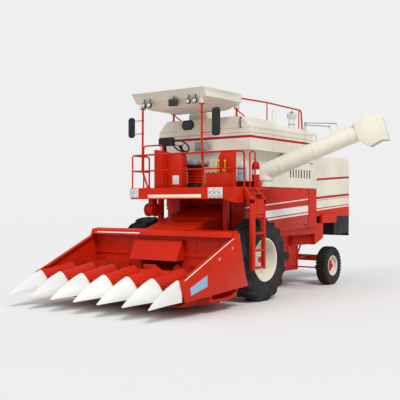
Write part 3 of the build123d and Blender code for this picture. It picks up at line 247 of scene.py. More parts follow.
def draw(points, closed=True):
    """Draws a line of edges through points, stays in edit mode and leaves the line selected."""
    bpy.ops.object.select_all(action="DESELECT")
    bpy.ops.mesh.primitive_plane_add(size=0.01, location=(0, 0, 0))
    bpy.ops.object.mode_set(mode="EDIT")
    bpy.ops.mesh.merge(type="CENTER")
    bpy.ops.transform.translate(value=Vector(points[0]))
    for one, two in zip(points, points[1:]):
        bpy.ops.mesh.extrude_region_move(TRANSFORM_OT_translate={"value": Vector(two) - Vector(one)})
    if closed:
        line = bmesh.from_edit_mesh(bpy.context.object.data)
        for corner in line.verts:
            corner.select = len(corner.link_edges) == 1
        line.select_flush_mode()
        bpy.ops.mesh.edge_face_add()
    bpy.ops.mesh.select_all(action="SELECT")
    return bpy.context.object


def close_up(piece, material, angle=34):
    """Merges doubles, turns the faces outwards, and gives a modelled part its finish and soft edges."""
    bpy.ops.mesh.select_all(action="SELECT")
    bpy.ops.mesh.remove_doubles(threshold=1e-5)
    bpy.ops.mesh.dissolve_degenerate(threshold=1e-6)
    bpy.ops.mesh.select_all(action="SELECT")
    bpy.ops.mesh.normals_make_consistent(inside=False)
    bpy.ops.object.mode_set(mode="OBJECT")
    bpy.ops.object.shade_smooth_by_angle(angle=math.radians(angle))
    piece.data.materials.append(material)
    return piece


def lathe(material, outline, centre, way, steps=32, angle=34):
    """Spins an outline of (radius, distance along the axis) round the axis through centre."""
    axis = Vector(way).normalized()
    out = axis.orthogonal().normalized()
    points = [Vector(centre) + out * radius + axis * along for radius, along in outline]
    piece = draw(points, closed=outline[0][0] > 0)
    bpy.ops.mesh.spin(steps=steps, angle=math.tau, center=centre, axis=axis)
    return close_up(piece, material, angle)


def grow(material, rings, edge=0.0, angle=34):
    """Grows a solid from its first ring of corners: the end is extruded and set in place, ring by ring.
    edge rounds the solid's edges."""
    bpy.ops.object.select_all(action="DESELECT")
    bpy.ops.mesh.primitive_circle_add(vertices=len(rings[0]), fill_type="NGON", location=(0, 0, 0))
    piece = bpy.context.object
    bpy.ops.object.mode_set(mode="EDIT")
    for index, ring in enumerate(rings):
        if index:
            bpy.ops.mesh.extrude_region_move()
        shape = bmesh.from_edit_mesh(piece.data)
        for corner, place in zip([v for v in shape.verts if v.select], ring):
            corner.co = place
        bmesh.update_edit_mesh(piece.data)
    if edge:
        bpy.ops.mesh.select_all(action="SELECT")
        bpy.ops.mesh.bevel(offset=edge, segments=2, affect="EDGES", clamp_overlap=True)
    return close_up(piece, material, angle)


def carry_round(piece, centre, way, count):
    """Repeats a part evenly round an axis."""
    pick(piece)
    bpy.ops.object.mode_set(mode="EDIT")
    bpy.ops.mesh.select_all(action="SELECT")
    bpy.ops.mesh.spin(steps=count, dupli=True, angle=math.tau, center=centre, axis=way)
    bpy.ops.mesh.select_all(action="SELECT")
    bpy.ops.mesh.remove_doubles(threshold=1e-5)
    bpy.ops.object.mode_set(mode="OBJECT")
    return piece


def unite(parts):
    """Joins parts into one."""
    pick(*parts)
    if len(parts) > 1:
        bpy.ops.object.join()
    return bpy.context.object


def assemble(name, body, slot, parts, *nodes):
    """Joins the parts of a piece, hangs it on what carries it, and hides the nodes it stands for."""
    piece = unite(parts)
    piece.name = name
    bpy.ops.object.transform_apply(location=True, rotation=True, scale=True)
    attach(piece, body)
    if nodes:
        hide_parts(*nodes)
    return piece


def around(centre, radius, turn):
    """A point on a circle that stands across the machine."""
    return (centre[0], centre[1] + radius * math.cos(turn), centre[2] + radius * math.sin(turn))


def tread_bar(hub, sections, lean, half_root, half_top, phase):
    """One bar of a tread, carried round. sections: offset from the middle, angle, top, root."""
    rings = [[around((hub[0] + lean * offset, *hub[1:]), radius, math.radians(turn + shift) + phase)
              for radius, shift in ((root, -half_root), (root, half_root), (top, half_top), (top, -half_top))]
             for offset, turn, top, root in sections]
    return carry_round(grow(tyre_rubber, rings, angle=25), hub, ACROSS, BARS)


def flipped(half_outline):
    """The other half of a wheel's outline, in the reverse order."""
    return [(radius, -along) for radius, along in half_outline[::-1]]


tyre_rubber = rubber("tyre_rubber", (0.011, 0.011, 0.012), 0.07)
carcass_half = [(0.745, 0.02), (0.743, 0.1), (0.736, 0.17), (0.71, 0.206), (0.67, 0.222), (0.61, 0.23),
                (0.54, 0.2285), (0.47, 0.219), (0.418, 0.206), (0.396, 0.198), (0.3885, 0.1875)]
bar = [(-0.01, 0, 0.775, 0.735), (0.07, 4.0, 0.7745, 0.735), (0.14, 8.5, 0.772, 0.728), (0.19, 12.0, 0.765, 0.712),
       (0.219, 14.0, 0.742, 0.695), (0.231, 15.0, 0.7, 0.66), (0.232, 15.6, 0.655, 0.62)]
bead = [(0.432, 0.205), (0.448, 0.217), (0.456, 0.2165), (0.464, 0.212)]
for side, sign in SIDES:
    hub = (sign * DRIVE_HUB[0], *DRIVE_HUB[1:])
    parts = [lathe(tyre_rubber, outline, hub, ACROSS, 72)
             for outline in (flipped(carcass_half) + carcass_half, bead, flipped(bead))]
    parts += [tread_bar(hub, bar, lean, 2.7, 2.0, 0 if sign * lean < 0 else BAR_STEP / 2) for lean in (-1, 1)]
    assemble(f"chevron_tyre_{side}", f"drive_wheel_{side}", "tyre", parts, f"drive_tyre_{side}")

# Drive rims
# Pressed cream steel: a deep barrel with rolled lips, a dished disc with four rimmed holes, ten wheel
# bolts and a red hub cap.
BARREL_HALF = [(0.3715, 0.02), (0.3715, 0.15), (0.373, 0.19), (0.382, 0.2095), (0.405, 0.2095), (0.408, 0.2035),
               (0.403, 0.1975), (0.391, 0.194), (0.387, 0.185), (0.3868, 0.02)]
DISC = [(0.061, 0.08), (0.118, 0.08), (0.13, 0.07), (0.148, 0.034), (0.17, 0.016), (0.26, -0.002),
        (0.32, -0.018), (0.356, -0.022), (0.3718, -0.012), (0.3718, -0.03), (0.356, -0.038),
        (0.32, -0.034), (0.26, -0.018), (0.16, 0.002), (0.138, 0.022), (0.118, 0.062), (0.061, 0.062)]
HUB_CAP = [(0, 0.07), (0.058, 0.07), (0.06, 0.088), (0.05, 0.104), (0.02, 0.11), (0, 0.11)]
HOLE_RIM = [(0.02, -0.018), (0.03, -0.018), (0.03, -0.004), (0.024, 0.0), (0.02, -0.004)]


def metal(name, colour, roughness):
    """Bare or plated metal, a little uneven and dull in patches."""
    material, shader, where = start(name, roughness, metal=0.75)
    mixed = blend(material, patches(material, where, 14, 5, 0.35, 0.75), colour, tuple(0.55 * c for c in colour))
    return surface(material, shader, where, mixed, 300, 2, 0.1, 0.001)


def bolt(material, place, way, size):
    """A hexagon head with its chamfer, on a flat washer."""
    return lathe(material, [(0, 0), (1.5 * size, 0), (1.5 * size, 0.25 * size), (size, 0.25 * size),
                            (size, 0.85 * size), (0.8 * size, size), (0, size)], place, way, 6, 20)


rim_cream = enamel("rim_enamel", CREAM, 0.34, 0.2, 0.1, 1.1, chips=0.5)
zinc = metal("zinc_plate", (0.56, 0.56, 0.54), 0.42)
for side, sign in SIDES:
    hub = Vector((sign * DRIVE_HUB[0], *DRIVE_HUB[1:]))
    way = Vector((sign, 0, 0))
    wheel_bolt = bolt(zinc, hub + way * 0.079 + Vector((0, 0.096, 0)), way, 0.012)
    parts = [lathe(rim_cream, BARREL_HALF + flipped(BARREL_HALF), hub, way, 72), lathe(rim_cream, DISC, hub, way, 72),
             carry_round(wheel_bolt, hub, way, 10), lathe(red, HUB_CAP, hub, way)]
    parts += [lathe(rim_cream, HOLE_RIM, around(hub + way * 0.012, 0.3, math.radians(turn)), way, 20)
              for turn in (45, 135, 225, 315)]
    assemble(f"pressed_rim_{side}", f"drive_wheel_{side}", "rim_cream", parts, f"drive_rim_{side}")

# Steered wheels
# Smaller tyres with two rows of tread blocks, on cream rims with a red hub.
STEER_HUB = (1.085, 3.36, 0.43)
small_half = [(0.408, 0.02), (0.4075, 0.05), (0.402, 0.082), (0.388, 0.106), (0.362, 0.12), (0.33, 0.1245),
              (0.29, 0.12), (0.25, 0.11), (0.225, 0.101), (0.2153, 0.097)]
block_row = [(0.006, 0, 0.43, 0.4), (0.07, 2.5, 0.4298, 0.4), (0.098, 3.6, 0.424, 0.39),
             (0.115, 4.2, 0.41, 0.375), (0.1215, 4.4, 0.385, 0.355)]
SMALL_BARREL_HALF = [(0.2045, 0.01), (0.2045, 0.08), (0.206, 0.098), (0.212, 0.11), (0.225, 0.11), (0.227, 0.106),
                     (0.224, 0.102), (0.216, 0.1), (0.2145, 0.094), (0.2145, 0.01)]
SMALL_DISC = [(0.0325, 0.066), (0.064, 0.066), (0.074, 0.058), (0.086, 0.018), (0.1, 0.012), (0.15, 0.024),
              (0.19, 0.034), (0.2048, 0.036), (0.2048, 0.026), (0.19, 0.022), (0.15, 0.012), (0.098, 0.000),
              (0.078, 0.006), (0.064, 0.052), (0.0325, 0.052)]
SMALL_CAP = [(0, 0.0615), (0.042, 0.0615), (0.042, 0.084), (0.034, 0.098), (0, 0.102)]
RED_HUB = [(0.033, 0.0662), (0.0645, 0.0662), (0.0755, 0.059), (0.088, 0.019), (0.13, 0.022),
           (0.13, 0.025), (0.09, 0.0225), (0.0775, 0.061), (0.065, 0.069), (0.033, 0.069)]
for side, sign in SIDES:
    hub = Vector((sign * STEER_HUB[0], *STEER_HUB[1:]))
    way = Vector((sign, 0, 0))
    parts = [lathe(tyre_rubber, flipped(small_half) + small_half, hub, ACROSS, 64)]
    parts += [tread_bar(hub, block_row, lean, 3.0, 2.5, phase + (0 if lean > 0 else BAR_STEP / 4))
              for lean in (-1, 1) for phase in (0, BAR_STEP / 2)]
    assemble(f"block_tyre_{side}", f"steer_wheel_{side}", "tyre", parts, f"steer_tyre_{side}")
    nut = bolt(zinc, hub + way * 0.0655 + Vector((0, 0.052, 0)), way, 0.008)
    parts = [lathe(rim_cream, SMALL_BARREL_HALF + flipped(SMALL_BARREL_HALF), hub, way, 64),
             lathe(rim_cream, SMALL_DISC, hub, way, 64), carry_round(nut, hub, way, 6),
             lathe(red, SMALL_CAP, hub, way), lathe(red, RED_HUB, hub, way, 48)]
    assemble(f"small_rim_{side}", f"steer_wheel_{side}", "rim_cream", parts, f"steer_rim_{side}")

# Threshing body and side shields
# Red sheet metal. Each shield is one pressed panel with broken edges and slanting white stripes,
# hung on three hinges at its top edge and held by quarter-turn catches.
WHITE = (0.8, 0.79, 0.74)
SHIELD_OUT = 0.995
SHIELD_EDGE = [(0.12, 2.14), (2.58, 2.14), (2.58, 1.312), (1.293, 1.237), (0.904, 1.459), (0.7, 1.64), (0.12, 1.7)]
CATCH = [(0, 0), (0.022, 0), (0.022, 0.006), (0.014, 0.01), (0, 0.01)]


def prism(material, outline, ends, edge=0.0, axis=0, angle=34):
    """A solid of one outline, drawn out between two places along an axis: 0 is X, 1 is Y and 2 is Z."""
    return grow(material, [[(*spot[:axis], end, *spot[axis:]) for spot in outline] for end in ends], edge, angle)


def slab(material, low, high, edge=0.003):
    """A block between two corners, with broken edges."""
    (x0, y0, z0), (x1, y1, z1) = low, high
    return prism(material, [(x0, y0), (x1, y0), (x1, y1), (x0, y1)], (z0, z1), edge, 2)


def pipe(material, points, radius, bend=0.05, sides=3):
    """A bent tube: a line of edges with its corners rounded, given a round section."""
    piece = draw(points, closed=False)
    if bend and len(points) > 2:
        line = bmesh.from_edit_mesh(piece.data)
        for corner in line.verts:
            corner.select = len(corner.link_edges) == 2
        line.select_flush_mode()
        bpy.ops.mesh.bevel(affect="VERTICES", offset=bend, segments=6, clamp_overlap=True)
    bpy.ops.object.mode_set(mode="OBJECT")
    bpy.ops.object.convert(target="CURVE")
    curve = bpy.context.object.data
    curve.bevel_depth = radius
    curve.bevel_resolution = sides
    curve.use_fill_caps = True
    bpy.ops.object.convert(target="MESH")
    bpy.ops.object.mode_set(mode="EDIT")
    return close_up(bpy.context.object, material)


def mirrored(parts):
    """The parts, with a copy of each on the other side of the machine."""
    copies = []
    for part in parts:
        pick(part)
        bpy.ops.object.duplicate()
        bpy.context.object.scale = (-1, 1, 1)
        bpy.ops.object.transform_apply(location=True, rotation=True, scale=True)
        bpy.ops.object.mode_set(mode="EDIT")
        bpy.ops.mesh.select_all(action="SELECT")
        bpy.ops.mesh.normals_make_consistent(inside=False)
        bpy.ops.object.mode_set(mode="OBJECT")
        copies.append(bpy.context.object)
    return parts + copies


shield_red = enamel("shield_enamel", RED, bands=(
    (WHITE, 1.722, 0.073, 0.022), (WHITE, 1.485, 0.064, 0.135), (WHITE, 1.425, 0.064, 0.035)))
black = rubber("black_plastic", (0.012, 0.012, 0.013), 0.03)
finish_node(red, "separator_body")
parts = [prism(shield_red, SHIELD_EDGE, (0.9553, SHIELD_OUT), 0.008)]
for y in (0.55, 1.35, 2.25):
    parts += [slab(shield_red, (0.985, y - 0.05, 2.085), (1.001, y + 0.05, 2.13), 0.004),
              pipe(red, [(1.001, y - 0.06, 2.134), (1.001, y + 0.06, 2.134)], 0.006)]
for y, z in ((0.3, 1.76), (1.3, 1.3), (2.45, 1.36)):
    parts += [lathe(black, CATCH, (SHIELD_OUT, y, z), ACROSS, 20),
              slab(black, (1.001, y - 0.016, z - 0.004), (1.011, y + 0.016, z + 0.004), 0.002)]
assemble("pressed_shields", "chassis", "red_paint", mirrored(parts), "side_shields")

# Seams of the threshing body
# The body's rear post and the joint under the upper covers are closed by narrow bolted strips.
parts = [bolt(red, (0.995, y, z), ACROSS, 0.01) for z in (1.45, 1.65, 1.85, 2.05) for y in (2.62, 2.92)]
parts += [bolt(red, (1.0005, 0.25 + 0.5 * k, 2.15), ACROSS, 0.008) for k in range(6)]
parts += [slab(red, (0.99, 2.592, 1.31), (0.999, 2.6, 2.136), 0.002),
          slab(red, (0.965, 0.13, 2.1402), (1.0005, 2.95, 2.162), 0.002)]
assemble("body_seams", "chassis", "red_paint", mirrored(parts))

# Underbody drive and guards
# A ribbed guard beside the sieve casing, stiffening ribs, struts to the rear axle, and on the left a
# belt drive with two pulleys, all bolted to the red casing.
PULLEY_FACE, BELT_MIDDLE = 0.815, 0.831
PULLEY = [(0, 0), (1, 0), (1, 0.008), (0.86, 0.016), (1, 0.024), (1, 0.032), (0.78, 0.032), (0.7, 0.018),
          (0.34, 0.018), (0.3, 0.04), (0, 0.04)]
worn_iron = rubber("belt_and_iron", (0.03, 0.029, 0.028), 0.12)
parts = [slab(red, (0.858, y, 0.95), (0.884, y + 0.018, 1.135), 0.004)
         for y in (2.135 + 0.041 * rib for rib in range(19))]
parts += [slab(red, (0.798, y - 0.018, foot), (0.814, y + 0.018, 0.9), 0.004)
          for y, foot in ((1.2, 0.64), (1.62, 0.64), (2.04, 0.52), (2.42, 0.52))]
parts += [bolt(red, (0.799, y, z), ACROSS, 0.01)
          for y, z in ((1.28, 1.08), (1.28, 0.7), (1.84, 1.08), (1.84, 0.56), (2.34, 0.56))]
parts += [slab(red, (0.8, 1.16, 0.9), (0.822, 2.1, 0.93), 0.004),
          pipe(red, [(0.66, 2.46, 0.6), (0.62, 3.27, 0.64)], 0.024),
          pipe(red, [(0.7, 2.42, 0.42), (0.7, 2.78, 0.935)], 0.018)]
parts = mirrored(parts)
belt = []
for y, z, radius, first, wrapped in ((1.42, 0.79, 0.115, 76, 188), (1.93, 0.7, 0.075, 256, 172)):
    section = [(radius * share, along) for share, along in PULLEY]
    parts.append(lathe(worn_iron, section, (PULLEY_FACE, y, z), ACROSS, 40))
    belt += [around((BELT_MIDDLE, y, z), 0.92 * radius, math.radians(first + wrapped * k / 8)) for k in range(9)]
parts.append(pipe(black, belt + [belt[0]], 0.009, 0))
assemble("underbody_drive", "chassis", "red_paint", parts)

# Upper walls and covers
# Cream sheet metal. The louvres are slots with a pressed blade over each, open towards the rear; a black
# slab in each slot paints the shade inside it. A bolted seam strip and two black grips lie beside them.
cream = enamel("cream_enamel", CREAM, 0.36, 0.14)
finish_node(cream, "upper_walls", "upper_covers", "tank_roof")
parts = []
for y in (1.77 + 0.12 * louvre for louvre in range(8)):
    blade = [[(0.996, y + 0.06, z), (1.0004 + 0.15 * out, y + 0.06, z), (1.0006 + 0.9 * out, y + 0.036, z),
              (1.0004 + out, y + 0.027, z), (0.9985 + 0.8 * out, y + 0.027, z), (0.996, y + 0.036, z)]
             for z, out in ((2.365, 0.0), (2.375, 0.01), (2.46, 0.013), (2.545, 0.01), (2.555, 0.0))]
    # The black slab in each slot is painted shade for the slot's dark inside.
    parts += [grow(cream, blade, angle=40),
              slab(black, (0.9925, y + 0.001, 2.372), (0.9975, y + 0.035, 2.548), 0.001)]
parts.append(slab(cream, (0.997, 1.64, 2.166), (1.003, 1.652, 2.855), 0.002))
parts += [bolt(cream, (0.9995, y, z), ACROSS, 0.008)
          for y, z in ((1.1, 2.2), (1.7, 2.2), (2.3, 2.2), (2.9, 2.2), (1.7, 2.82), (2.3, 2.82), (2.9, 2.82))]
for y in (1.85, 2.7):
    grip = [(1.001, y - 0.05, 2.7), (1.022, y - 0.05, 2.7), (1.022, y + 0.05, 2.7), (1.001, y + 0.05, 2.7)]
    parts.append(pipe(black, grip, 0.006, 0.012, 2))
assemble("louvre_blades", "chassis", "cream_paint", mirrored(parts))

# Grain tank
# Cream folded sheets with a dark red stripe round them, seam strips, a rolled bottom edge and a bolted
# flange where the roof sits on the walls. A bent black tube bridges the flange in front.
STRIPE_RED = (0.46, 0.006, 0.012)
TANK_SIDE, TANK_FRONT, TANK_REAR = 1.12, 0.05, 2.57
FLANGE = 0.006
HEM_Z = 2.866
tank_cream = enamel("tank_enamel", CREAM, 0.36, 0.12, bands=(
    (STRIPE_RED, 3.085, 0.0, 0.05), (STRIPE_RED, 3.185, 0.0, 0.008)))
finish_node(tank_cream, "tank_body")
parts = [slab(cream, (x0, y0, z0), (x1, y1, z1), 0.002)
         for x0, y0, x1, y1 in ((TANK_SIDE, TANK_FRONT - FLANGE, TANK_SIDE + FLANGE, TANK_REAR + FLANGE),
                                (-TANK_SIDE - FLANGE, TANK_FRONT - FLANGE, -TANK_SIDE, TANK_REAR + FLANGE),
                                (-TANK_SIDE, TANK_FRONT - FLANGE, TANK_SIDE, TANK_FRONT),
                                (-TANK_SIDE, TANK_REAR, TANK_SIDE, TANK_REAR + FLANGE))
         for z0, z1 in ((3.286, 3.3), (3.301, 3.314))]
for way, end in ((-1, TANK_FRONT - FLANGE), (1, TANK_REAR + FLANGE)):
    parts += [bolt(cream, (way * (TANK_SIDE + FLANGE), 0.2 + 0.275 * k, 3.3), (way, 0, 0), 0.007) for k in range(9)]
    parts += [bolt(cream, (-0.98 + 0.28 * k, end, 3.3), (0, way, 0), 0.007) for k in range(8)]
parts.append(pipe(cream, [(-1.115, 0.055, HEM_Z), (1.115, 0.055, HEM_Z), (1.115, 2.565, HEM_Z),
                          (-1.115, 2.565, HEM_Z), (-1.115, 0.057, HEM_Z)], 0.011, 0.01))
parts += [slab(tank_cream, (x - 0.012, 0.044, 2.872), (x + 0.012, 0.052, 3.284)) for x in (-0.37, 0.37)]
parts += [slab(tank_cream, (x, y - 0.012, 2.872), (x + 0.008, y + 0.012, 3.284))
          for y in (0.9, 1.74) for x in (-1.126, 1.118)]
parts.append(pipe(black, [(0.915, 0.048, 3.286), (0.915, 0.02, 3.3), (0.915, 0.012, 3.46), (0.915, 0.052, 3.476)],
                  0.011, 0.02))
assemble("tank_seams", "chassis", "cream_paint", parts)

# Tank lid
# A flat cream lid with pressed stiffening ribs, two hinges of three barrels each, and a black grip.
HINGE_BARREL = [(0, 0), (0.0185, 0), (0.0195, 0.002), (0.0195, 0.026), (0.0185, 0.028), (0, 0.028)]
GRIP_LOW, GRIP_TOP = 3.452, 3.459
parts = [slab(cream, (-0.42, 1.5, 3.4203), (0.42, 2.3, 3.4553), 0.006)]
parts += [slab(cream, (-0.34, y - 0.03, 3.45), (0.34, y + 0.03, 3.4603), 0.006) for y in (1.68, 1.9, 2.12)]
for y in (1.6, 2.11):
    parts += [lathe(zinc, HINGE_BARREL, (-0.42, y + 0.031 * k, 3.4403), BACK, 20) for k in range(3)]
    parts.append(slab(zinc, (-0.418, y, 3.452), (-0.35, y + 0.09, 3.459), 0.002))
grip = [(0.36, 1.83, GRIP_LOW), (0.36, 1.83, GRIP_TOP), (0.41, 1.83, GRIP_TOP), (0.41, 1.97, GRIP_TOP),
        (0.36, 1.97, GRIP_TOP), (0.36, 1.97, GRIP_LOW)]
parts.append(pipe(black, grip, 0.0045, 0.003, 2))
assemble("ribbed_lid", "tank_lid", "cream_paint", parts, "tank_lid")

# Sight glass
# Dark safety glass in a black rubber surround, in the front wall of the roof.
def glass_pane(name, colour, roughness, clear):
    """Glass over a dark room: partly clear, smooth and with a faint film."""
    material, shader, where = start(name, roughness)
    film = span(material, noise(material, where, 5, 4), "Fac", 0.3, 0.8)
    haze = tuple(min(1, 1.4 * c + 0.01) for c in colour)
    join(material, blend(material, film, colour, haze), 2, shader, "Base Color")
    shader.inputs["Transmission Weight"].default_value = clear
    return material


def eight(x0, x1, z0, z1, cut):
    """Corners of a rectangle with its corners cut off."""
    return [(x0 + cut, z0), (x1 - cut, z0), (x1, z0 + cut), (x1, z1 - cut), (x1 - cut, z1), (x0 + cut, z1),
            (x0, z1 - cut), (x0, z0 + cut)]


dark_glass = glass_pane("dark_glass", (0.03, 0.035, 0.04), 0.08, 0.0)
outer = eight(-0.522, -0.222, 3.315, 3.505, 0.055)
inner = eight(-0.5, -0.244, 3.337, 3.483, 0.046)
between = [(0.5 * (x + u), 0.5 * (z + w)) for (x, z), (u, w) in zip(outer, inner)]
parts = [grow(black, [[(x, y, z) for x, z in ring]
                      for y, ring in ((0.0497, outer), (0.036, outer), (0.028, between), (0.03, inner))], angle=40),
         prism(dark_glass, inner, (0.034, 0.0285), axis=1, angle=40)]
assemble("rubber_set_glass", "chassis", "glass", parts, "sight_glass")

# Grain elevator
# Leg and head are bolted boxes with flanged joints, a drive cover and a cleaning door.
parts = [prism(cream, [(-0.54, 3.5103), (-0.1, 3.5103), (-0.1, 3.7), (-0.48, 3.7), (-0.54, 3.64)], (0.3, 0.76),
               0.006, 1),
         slab(cream, (-1.1303, 1.25, 0.7), (-1.0003, 1.5, 2.64), 0.006),
         slab(cream, (-1.137, 1.29, 0.78), (-1.129, 1.46, 0.96))]
for z in (1.05, 1.7, 2.35):
    parts.append(slab(cream, (-1.136, 1.24, z - 0.012), (-1.001, 1.51, z + 0.012)))
    parts += [bolt(zinc, (-1.136, y, z), (-1, 0, 0), 0.008) for y in (1.28, 1.375, 1.47)]
parts += [slab(cream, (-0.5, y, 3.525), (-0.12, y + 0.008, 3.685)) for y in (0.292, 0.76)]
assemble("flanged_elevator", "chassis", "cream_paint", parts, "grain_elevator")
finish_node(black, "engine")

# Straw hood
# Cream above and red below with stripes. Its sheets are lapped and bolted at joint strips, and the
# lower edges are rolled.
hood_cream = enamel("hood_enamel", CREAM, bands=(
    (RED, 0.0, 0.06, 1.531), (WHITE, 1.478, 0.06, 0.027), (STRIPE_RED, 1.7, 0.06, 0.012),
    (STRIPE_RED, 1.733, 0.06, 0.055), (STRIPE_RED, 2.153, 0.06, 0.05)))
finish_node(hood_cream, "straw_hood")
parts = [slab(hood_cream, (0.898, y - 0.01, 1.548), (0.9035, y + 0.01, 2.87), 0.002) for y in (3.86, 4.3)]
parts += [bolt(cream, (0.903, 3.00 + 0.35 * k, 2.08), ACROSS, 0.007) for k in range(6)]
parts += [slab(hood_cream, (0.897, 2.968, 2.03), (0.9035, 4.8, 2.046), 0.002),
          pipe(hood_cream, [(0.893, 2.975, 1.5445), (0.893, 4.8, 1.5445)], 0.009)]
assemble("hood_joints", "chassis", "cream_paint", mirrored(parts))

# Rubber curtain
# Three sheets of black rubber that hang from the hood's rolled lower edge: one behind, one each side.
CURTAIN_TOP = 1.5397
CURTAIN_THICK = 0.008
curtain_rubber = rubber("curtain_rubber", (0.016, 0.019, 0.024), 0.08)


def hung_sheet(name, corner, along, width, height, waves):
    """A hanging sheet: a grid with shallow waves that deepen towards its free edge."""
    bpy.ops.object.select_all(action="DESELECT")
    bpy.ops.mesh.primitive_grid_add(x_subdivisions=48, y_subdivisions=14, size=1, location=(0, 0, 0))
    piece = bpy.context.object
    side = Vector(along)
    inward = Vector(UP).cross(side)
    for point in piece.data.vertices:
        across = point.co.x + 0.5
        down = 0.5 - point.co.y
        swing = 0.004 + 0.01 * down ** 1.5 * (1 + math.sin(math.tau * waves * across + 0.7 * math.sin(5 * across)))
        point.co = Vector(corner) + side * (across * width) + inward * swing - Vector((0, 0, down * height))
    bpy.ops.object.modifier_add(type="SOLIDIFY")
    piece.modifiers[0].thickness = CURTAIN_THICK
    piece.modifiers[0].offset = 0
    bpy.ops.object.modifier_apply(modifier=piece.modifiers[0].name)
    bpy.ops.object.mode_set(mode="EDIT")
    close_up(piece, curtain_rubber)
    assemble(name, "chassis", "black_rubber", [piece], "hood_curtain")


hung_sheet("curtain_rear", (0.898, 4.808, CURTAIN_TOP), (-1, 0, 0), 1.796, 0.488, 4)
hung_sheet("curtain_left", (0.898, 4.022, CURTAIN_TOP), BACK, 0.78, 0.428, 2)
hung_sheet("curtain_right", (-0.898, 4.802, CURTAIN_TOP), AHEAD, 0.78, 0.428, 2)

# Operator's platform
# A red floor with a folded front fascia. The fascia carries a bare cream strip, the floor has raised
# treads where the operator stands, and a round red reservoir lies under its right end.
RESERVOIR = [(0, -0.008), (0.128, -0.008), (0.132, 0.0), (0.132, 0.03), (0.12, 0.036), (0.118, 0.17),
             (0.132, 0.174), (0.132, 0.204), (0.126, 0.208), (0, 0.208)]
RESERVOIR_CAP = [(0, 0), (0.05, 0), (0.05, 0.01), (0.02, 0.016), (0, 0.016)]
finish_node(red, "platform_deck", "front_supports")
parts = [slab(cream, (-0.506, -1.0335, 1.93), (0.762, -1.03, 1.992), 0.001)]
parts += [bolt(red, (x, -1.03, 2.08), AHEAD, 0.008) for x in (-0.68, 0.86)]
for first, pitch, count, wide, y0, y1 in ((0.12, 0.055, 9, 0.015, -0.96, -0.79), (1.3, 0.03, 6, 0.01, -0.62, -0.1)):
    parts += [slab(red, (x, y0, 2.1195), (x + wide, y1, 2.1235), 0.0015)
              for x in (first + pitch * tread for tread in range(count))]
parts += [pipe(red, [(-0.935, -1.026, 1.915), (1.245, -1.026, 1.915), (1.495, -1.026, 1.846)], 0.009, 0.02),
          lathe(red, RESERVOIR, (-0.904, -0.56, 1.7), ACROSS, 40),
          lathe(zinc, RESERVOIR_CAP, (-0.912, -0.56, 1.7), (-1, 0, 0), 24)]
assemble("platform_trim", "chassis", "red_paint", parts)

# Platform rails
# Bent red tube in two heights round the front, a loop before the console and a grab at the ladder.
DECK_TOP, RAIL_MIDDLE, RAIL_TOP = 2.12, 2.45, 2.755
RAIL_FOOT = [(0, 0), (0.024, 0), (0.024, 0.004), (0.018, 0.008), (0, 0.008)]


def hoop(corners, top, radius, bend):
    """A rail that rises from the deck at its first corner and goes down again at its last."""
    line = [(*corners[0], DECK_TOP)] + [(*corner, top) for corner in corners] + [(*corners[-1], DECK_TOP)]
    return pipe(red, line, radius, bend, 4)


rail_corners = [(-0.92, -0.51), (-0.92, -1.01), (1.475, -1.01), (1.475, -0.69)]
console_loop = [(-0.808, -0.81), (-0.324, -0.81)]
ladder_grab = [(1.35, -0.31), (1.35, -0.13)]
parts = [hoop(rail_corners, RAIL_TOP, 0.017, 0.06), hoop(console_loop, 2.95, 0.015, 0.06),
         hoop(ladder_grab, 2.79, 0.015, 0.05),
         pipe(red, [(*corner, RAIL_MIDDLE) for corner in rail_corners], 0.015, 0.06, 4)]
parts += [pipe(red, [(*corner, DECK_TOP), (*corner, RAIL_TOP - 0.012)], 0.015, sides=4)
          for corner in rail_corners[1:3]]
parts += [lathe(red, RAIL_FOOT, (*foot, DECK_TOP), UP, 20) for foot in rail_corners + console_loop + ladder_grab]
assemble("bent_rails", "chassis", "red_paint", parts, "platform_rails")

# Canopy posts and handrail
# Bent red tube on bolted foot plates, with a strut to each rear post and a rail along the tank.
HEAD_Z, ROOF_TOP, STEP_TOP = 3.6597, 3.5103, 3.4203
FRONT_POST, REAR_POST = (0.715, -0.94), (0.78, 0.098)
PLATE = 0.012


def plate(x, y, z, half_x, half_y):
    """A mounting plate between a post and what it stands on."""
    return slab(red, (x - half_x, y - half_y, z), (x + half_x, y + half_y, z + PLATE), 0.002)


parts = []
for sign, foot_x, knee_x, knee_z in ((1, 0.76, 0.76, 2.45), (-1, -0.57, -0.715, 2.46)):
    x, y = sign * FRONT_POST[0], FRONT_POST[1]
    parts += [pipe(red, [(foot_x, -0.955, 2.125), (knee_x, -0.955, knee_z), (x, -0.945, knee_z + 0.5),
                         (x, y, HEAD_Z - 0.008)], 0.02, sides=4),
              plate(foot_x, -0.9525, DECK_TOP, 0.045, 0.0375), plate(x, y, HEAD_Z - PLATE, 0.045, 0.045)]
    for dx in (-0.032, 0.032):
        for dy in (-0.02, 0.02):
            parts += [bolt(red, (foot_x + dx, -0.9525 + dy, 2.131), UP, 0.007),
                      bolt(red, (x + dx, y + dy, HEAD_Z - 0.011), (0, 0, -1), 0.007)]
    x, y = sign * REAR_POST[0], REAR_POST[1]
    parts += [pipe(red, [(x, y, ROOF_TOP + 0.005), (x, y, HEAD_Z - 0.006)], 0.02, sides=4),
              pipe(red, [(x, y, HEAD_Z - 0.016), (x, 0.4, ROOF_TOP + 0.02), (x, 0.43, ROOF_TOP + 0.019)],
                   0.012, 0.03, 4),
              plate(x, 0.0975, ROOF_TOP, 0.04, 0.0375), plate(x, 0.0975, HEAD_Z - PLATE, 0.04, 0.0375),
              plate(x, 0.425, ROOF_TOP, 0.03, 0.03)]
    parts += [bolt(red, (x + dx, 0.12, ROOF_TOP + 0.011), UP, 0.006) for dx in (-0.03, 0.03)]
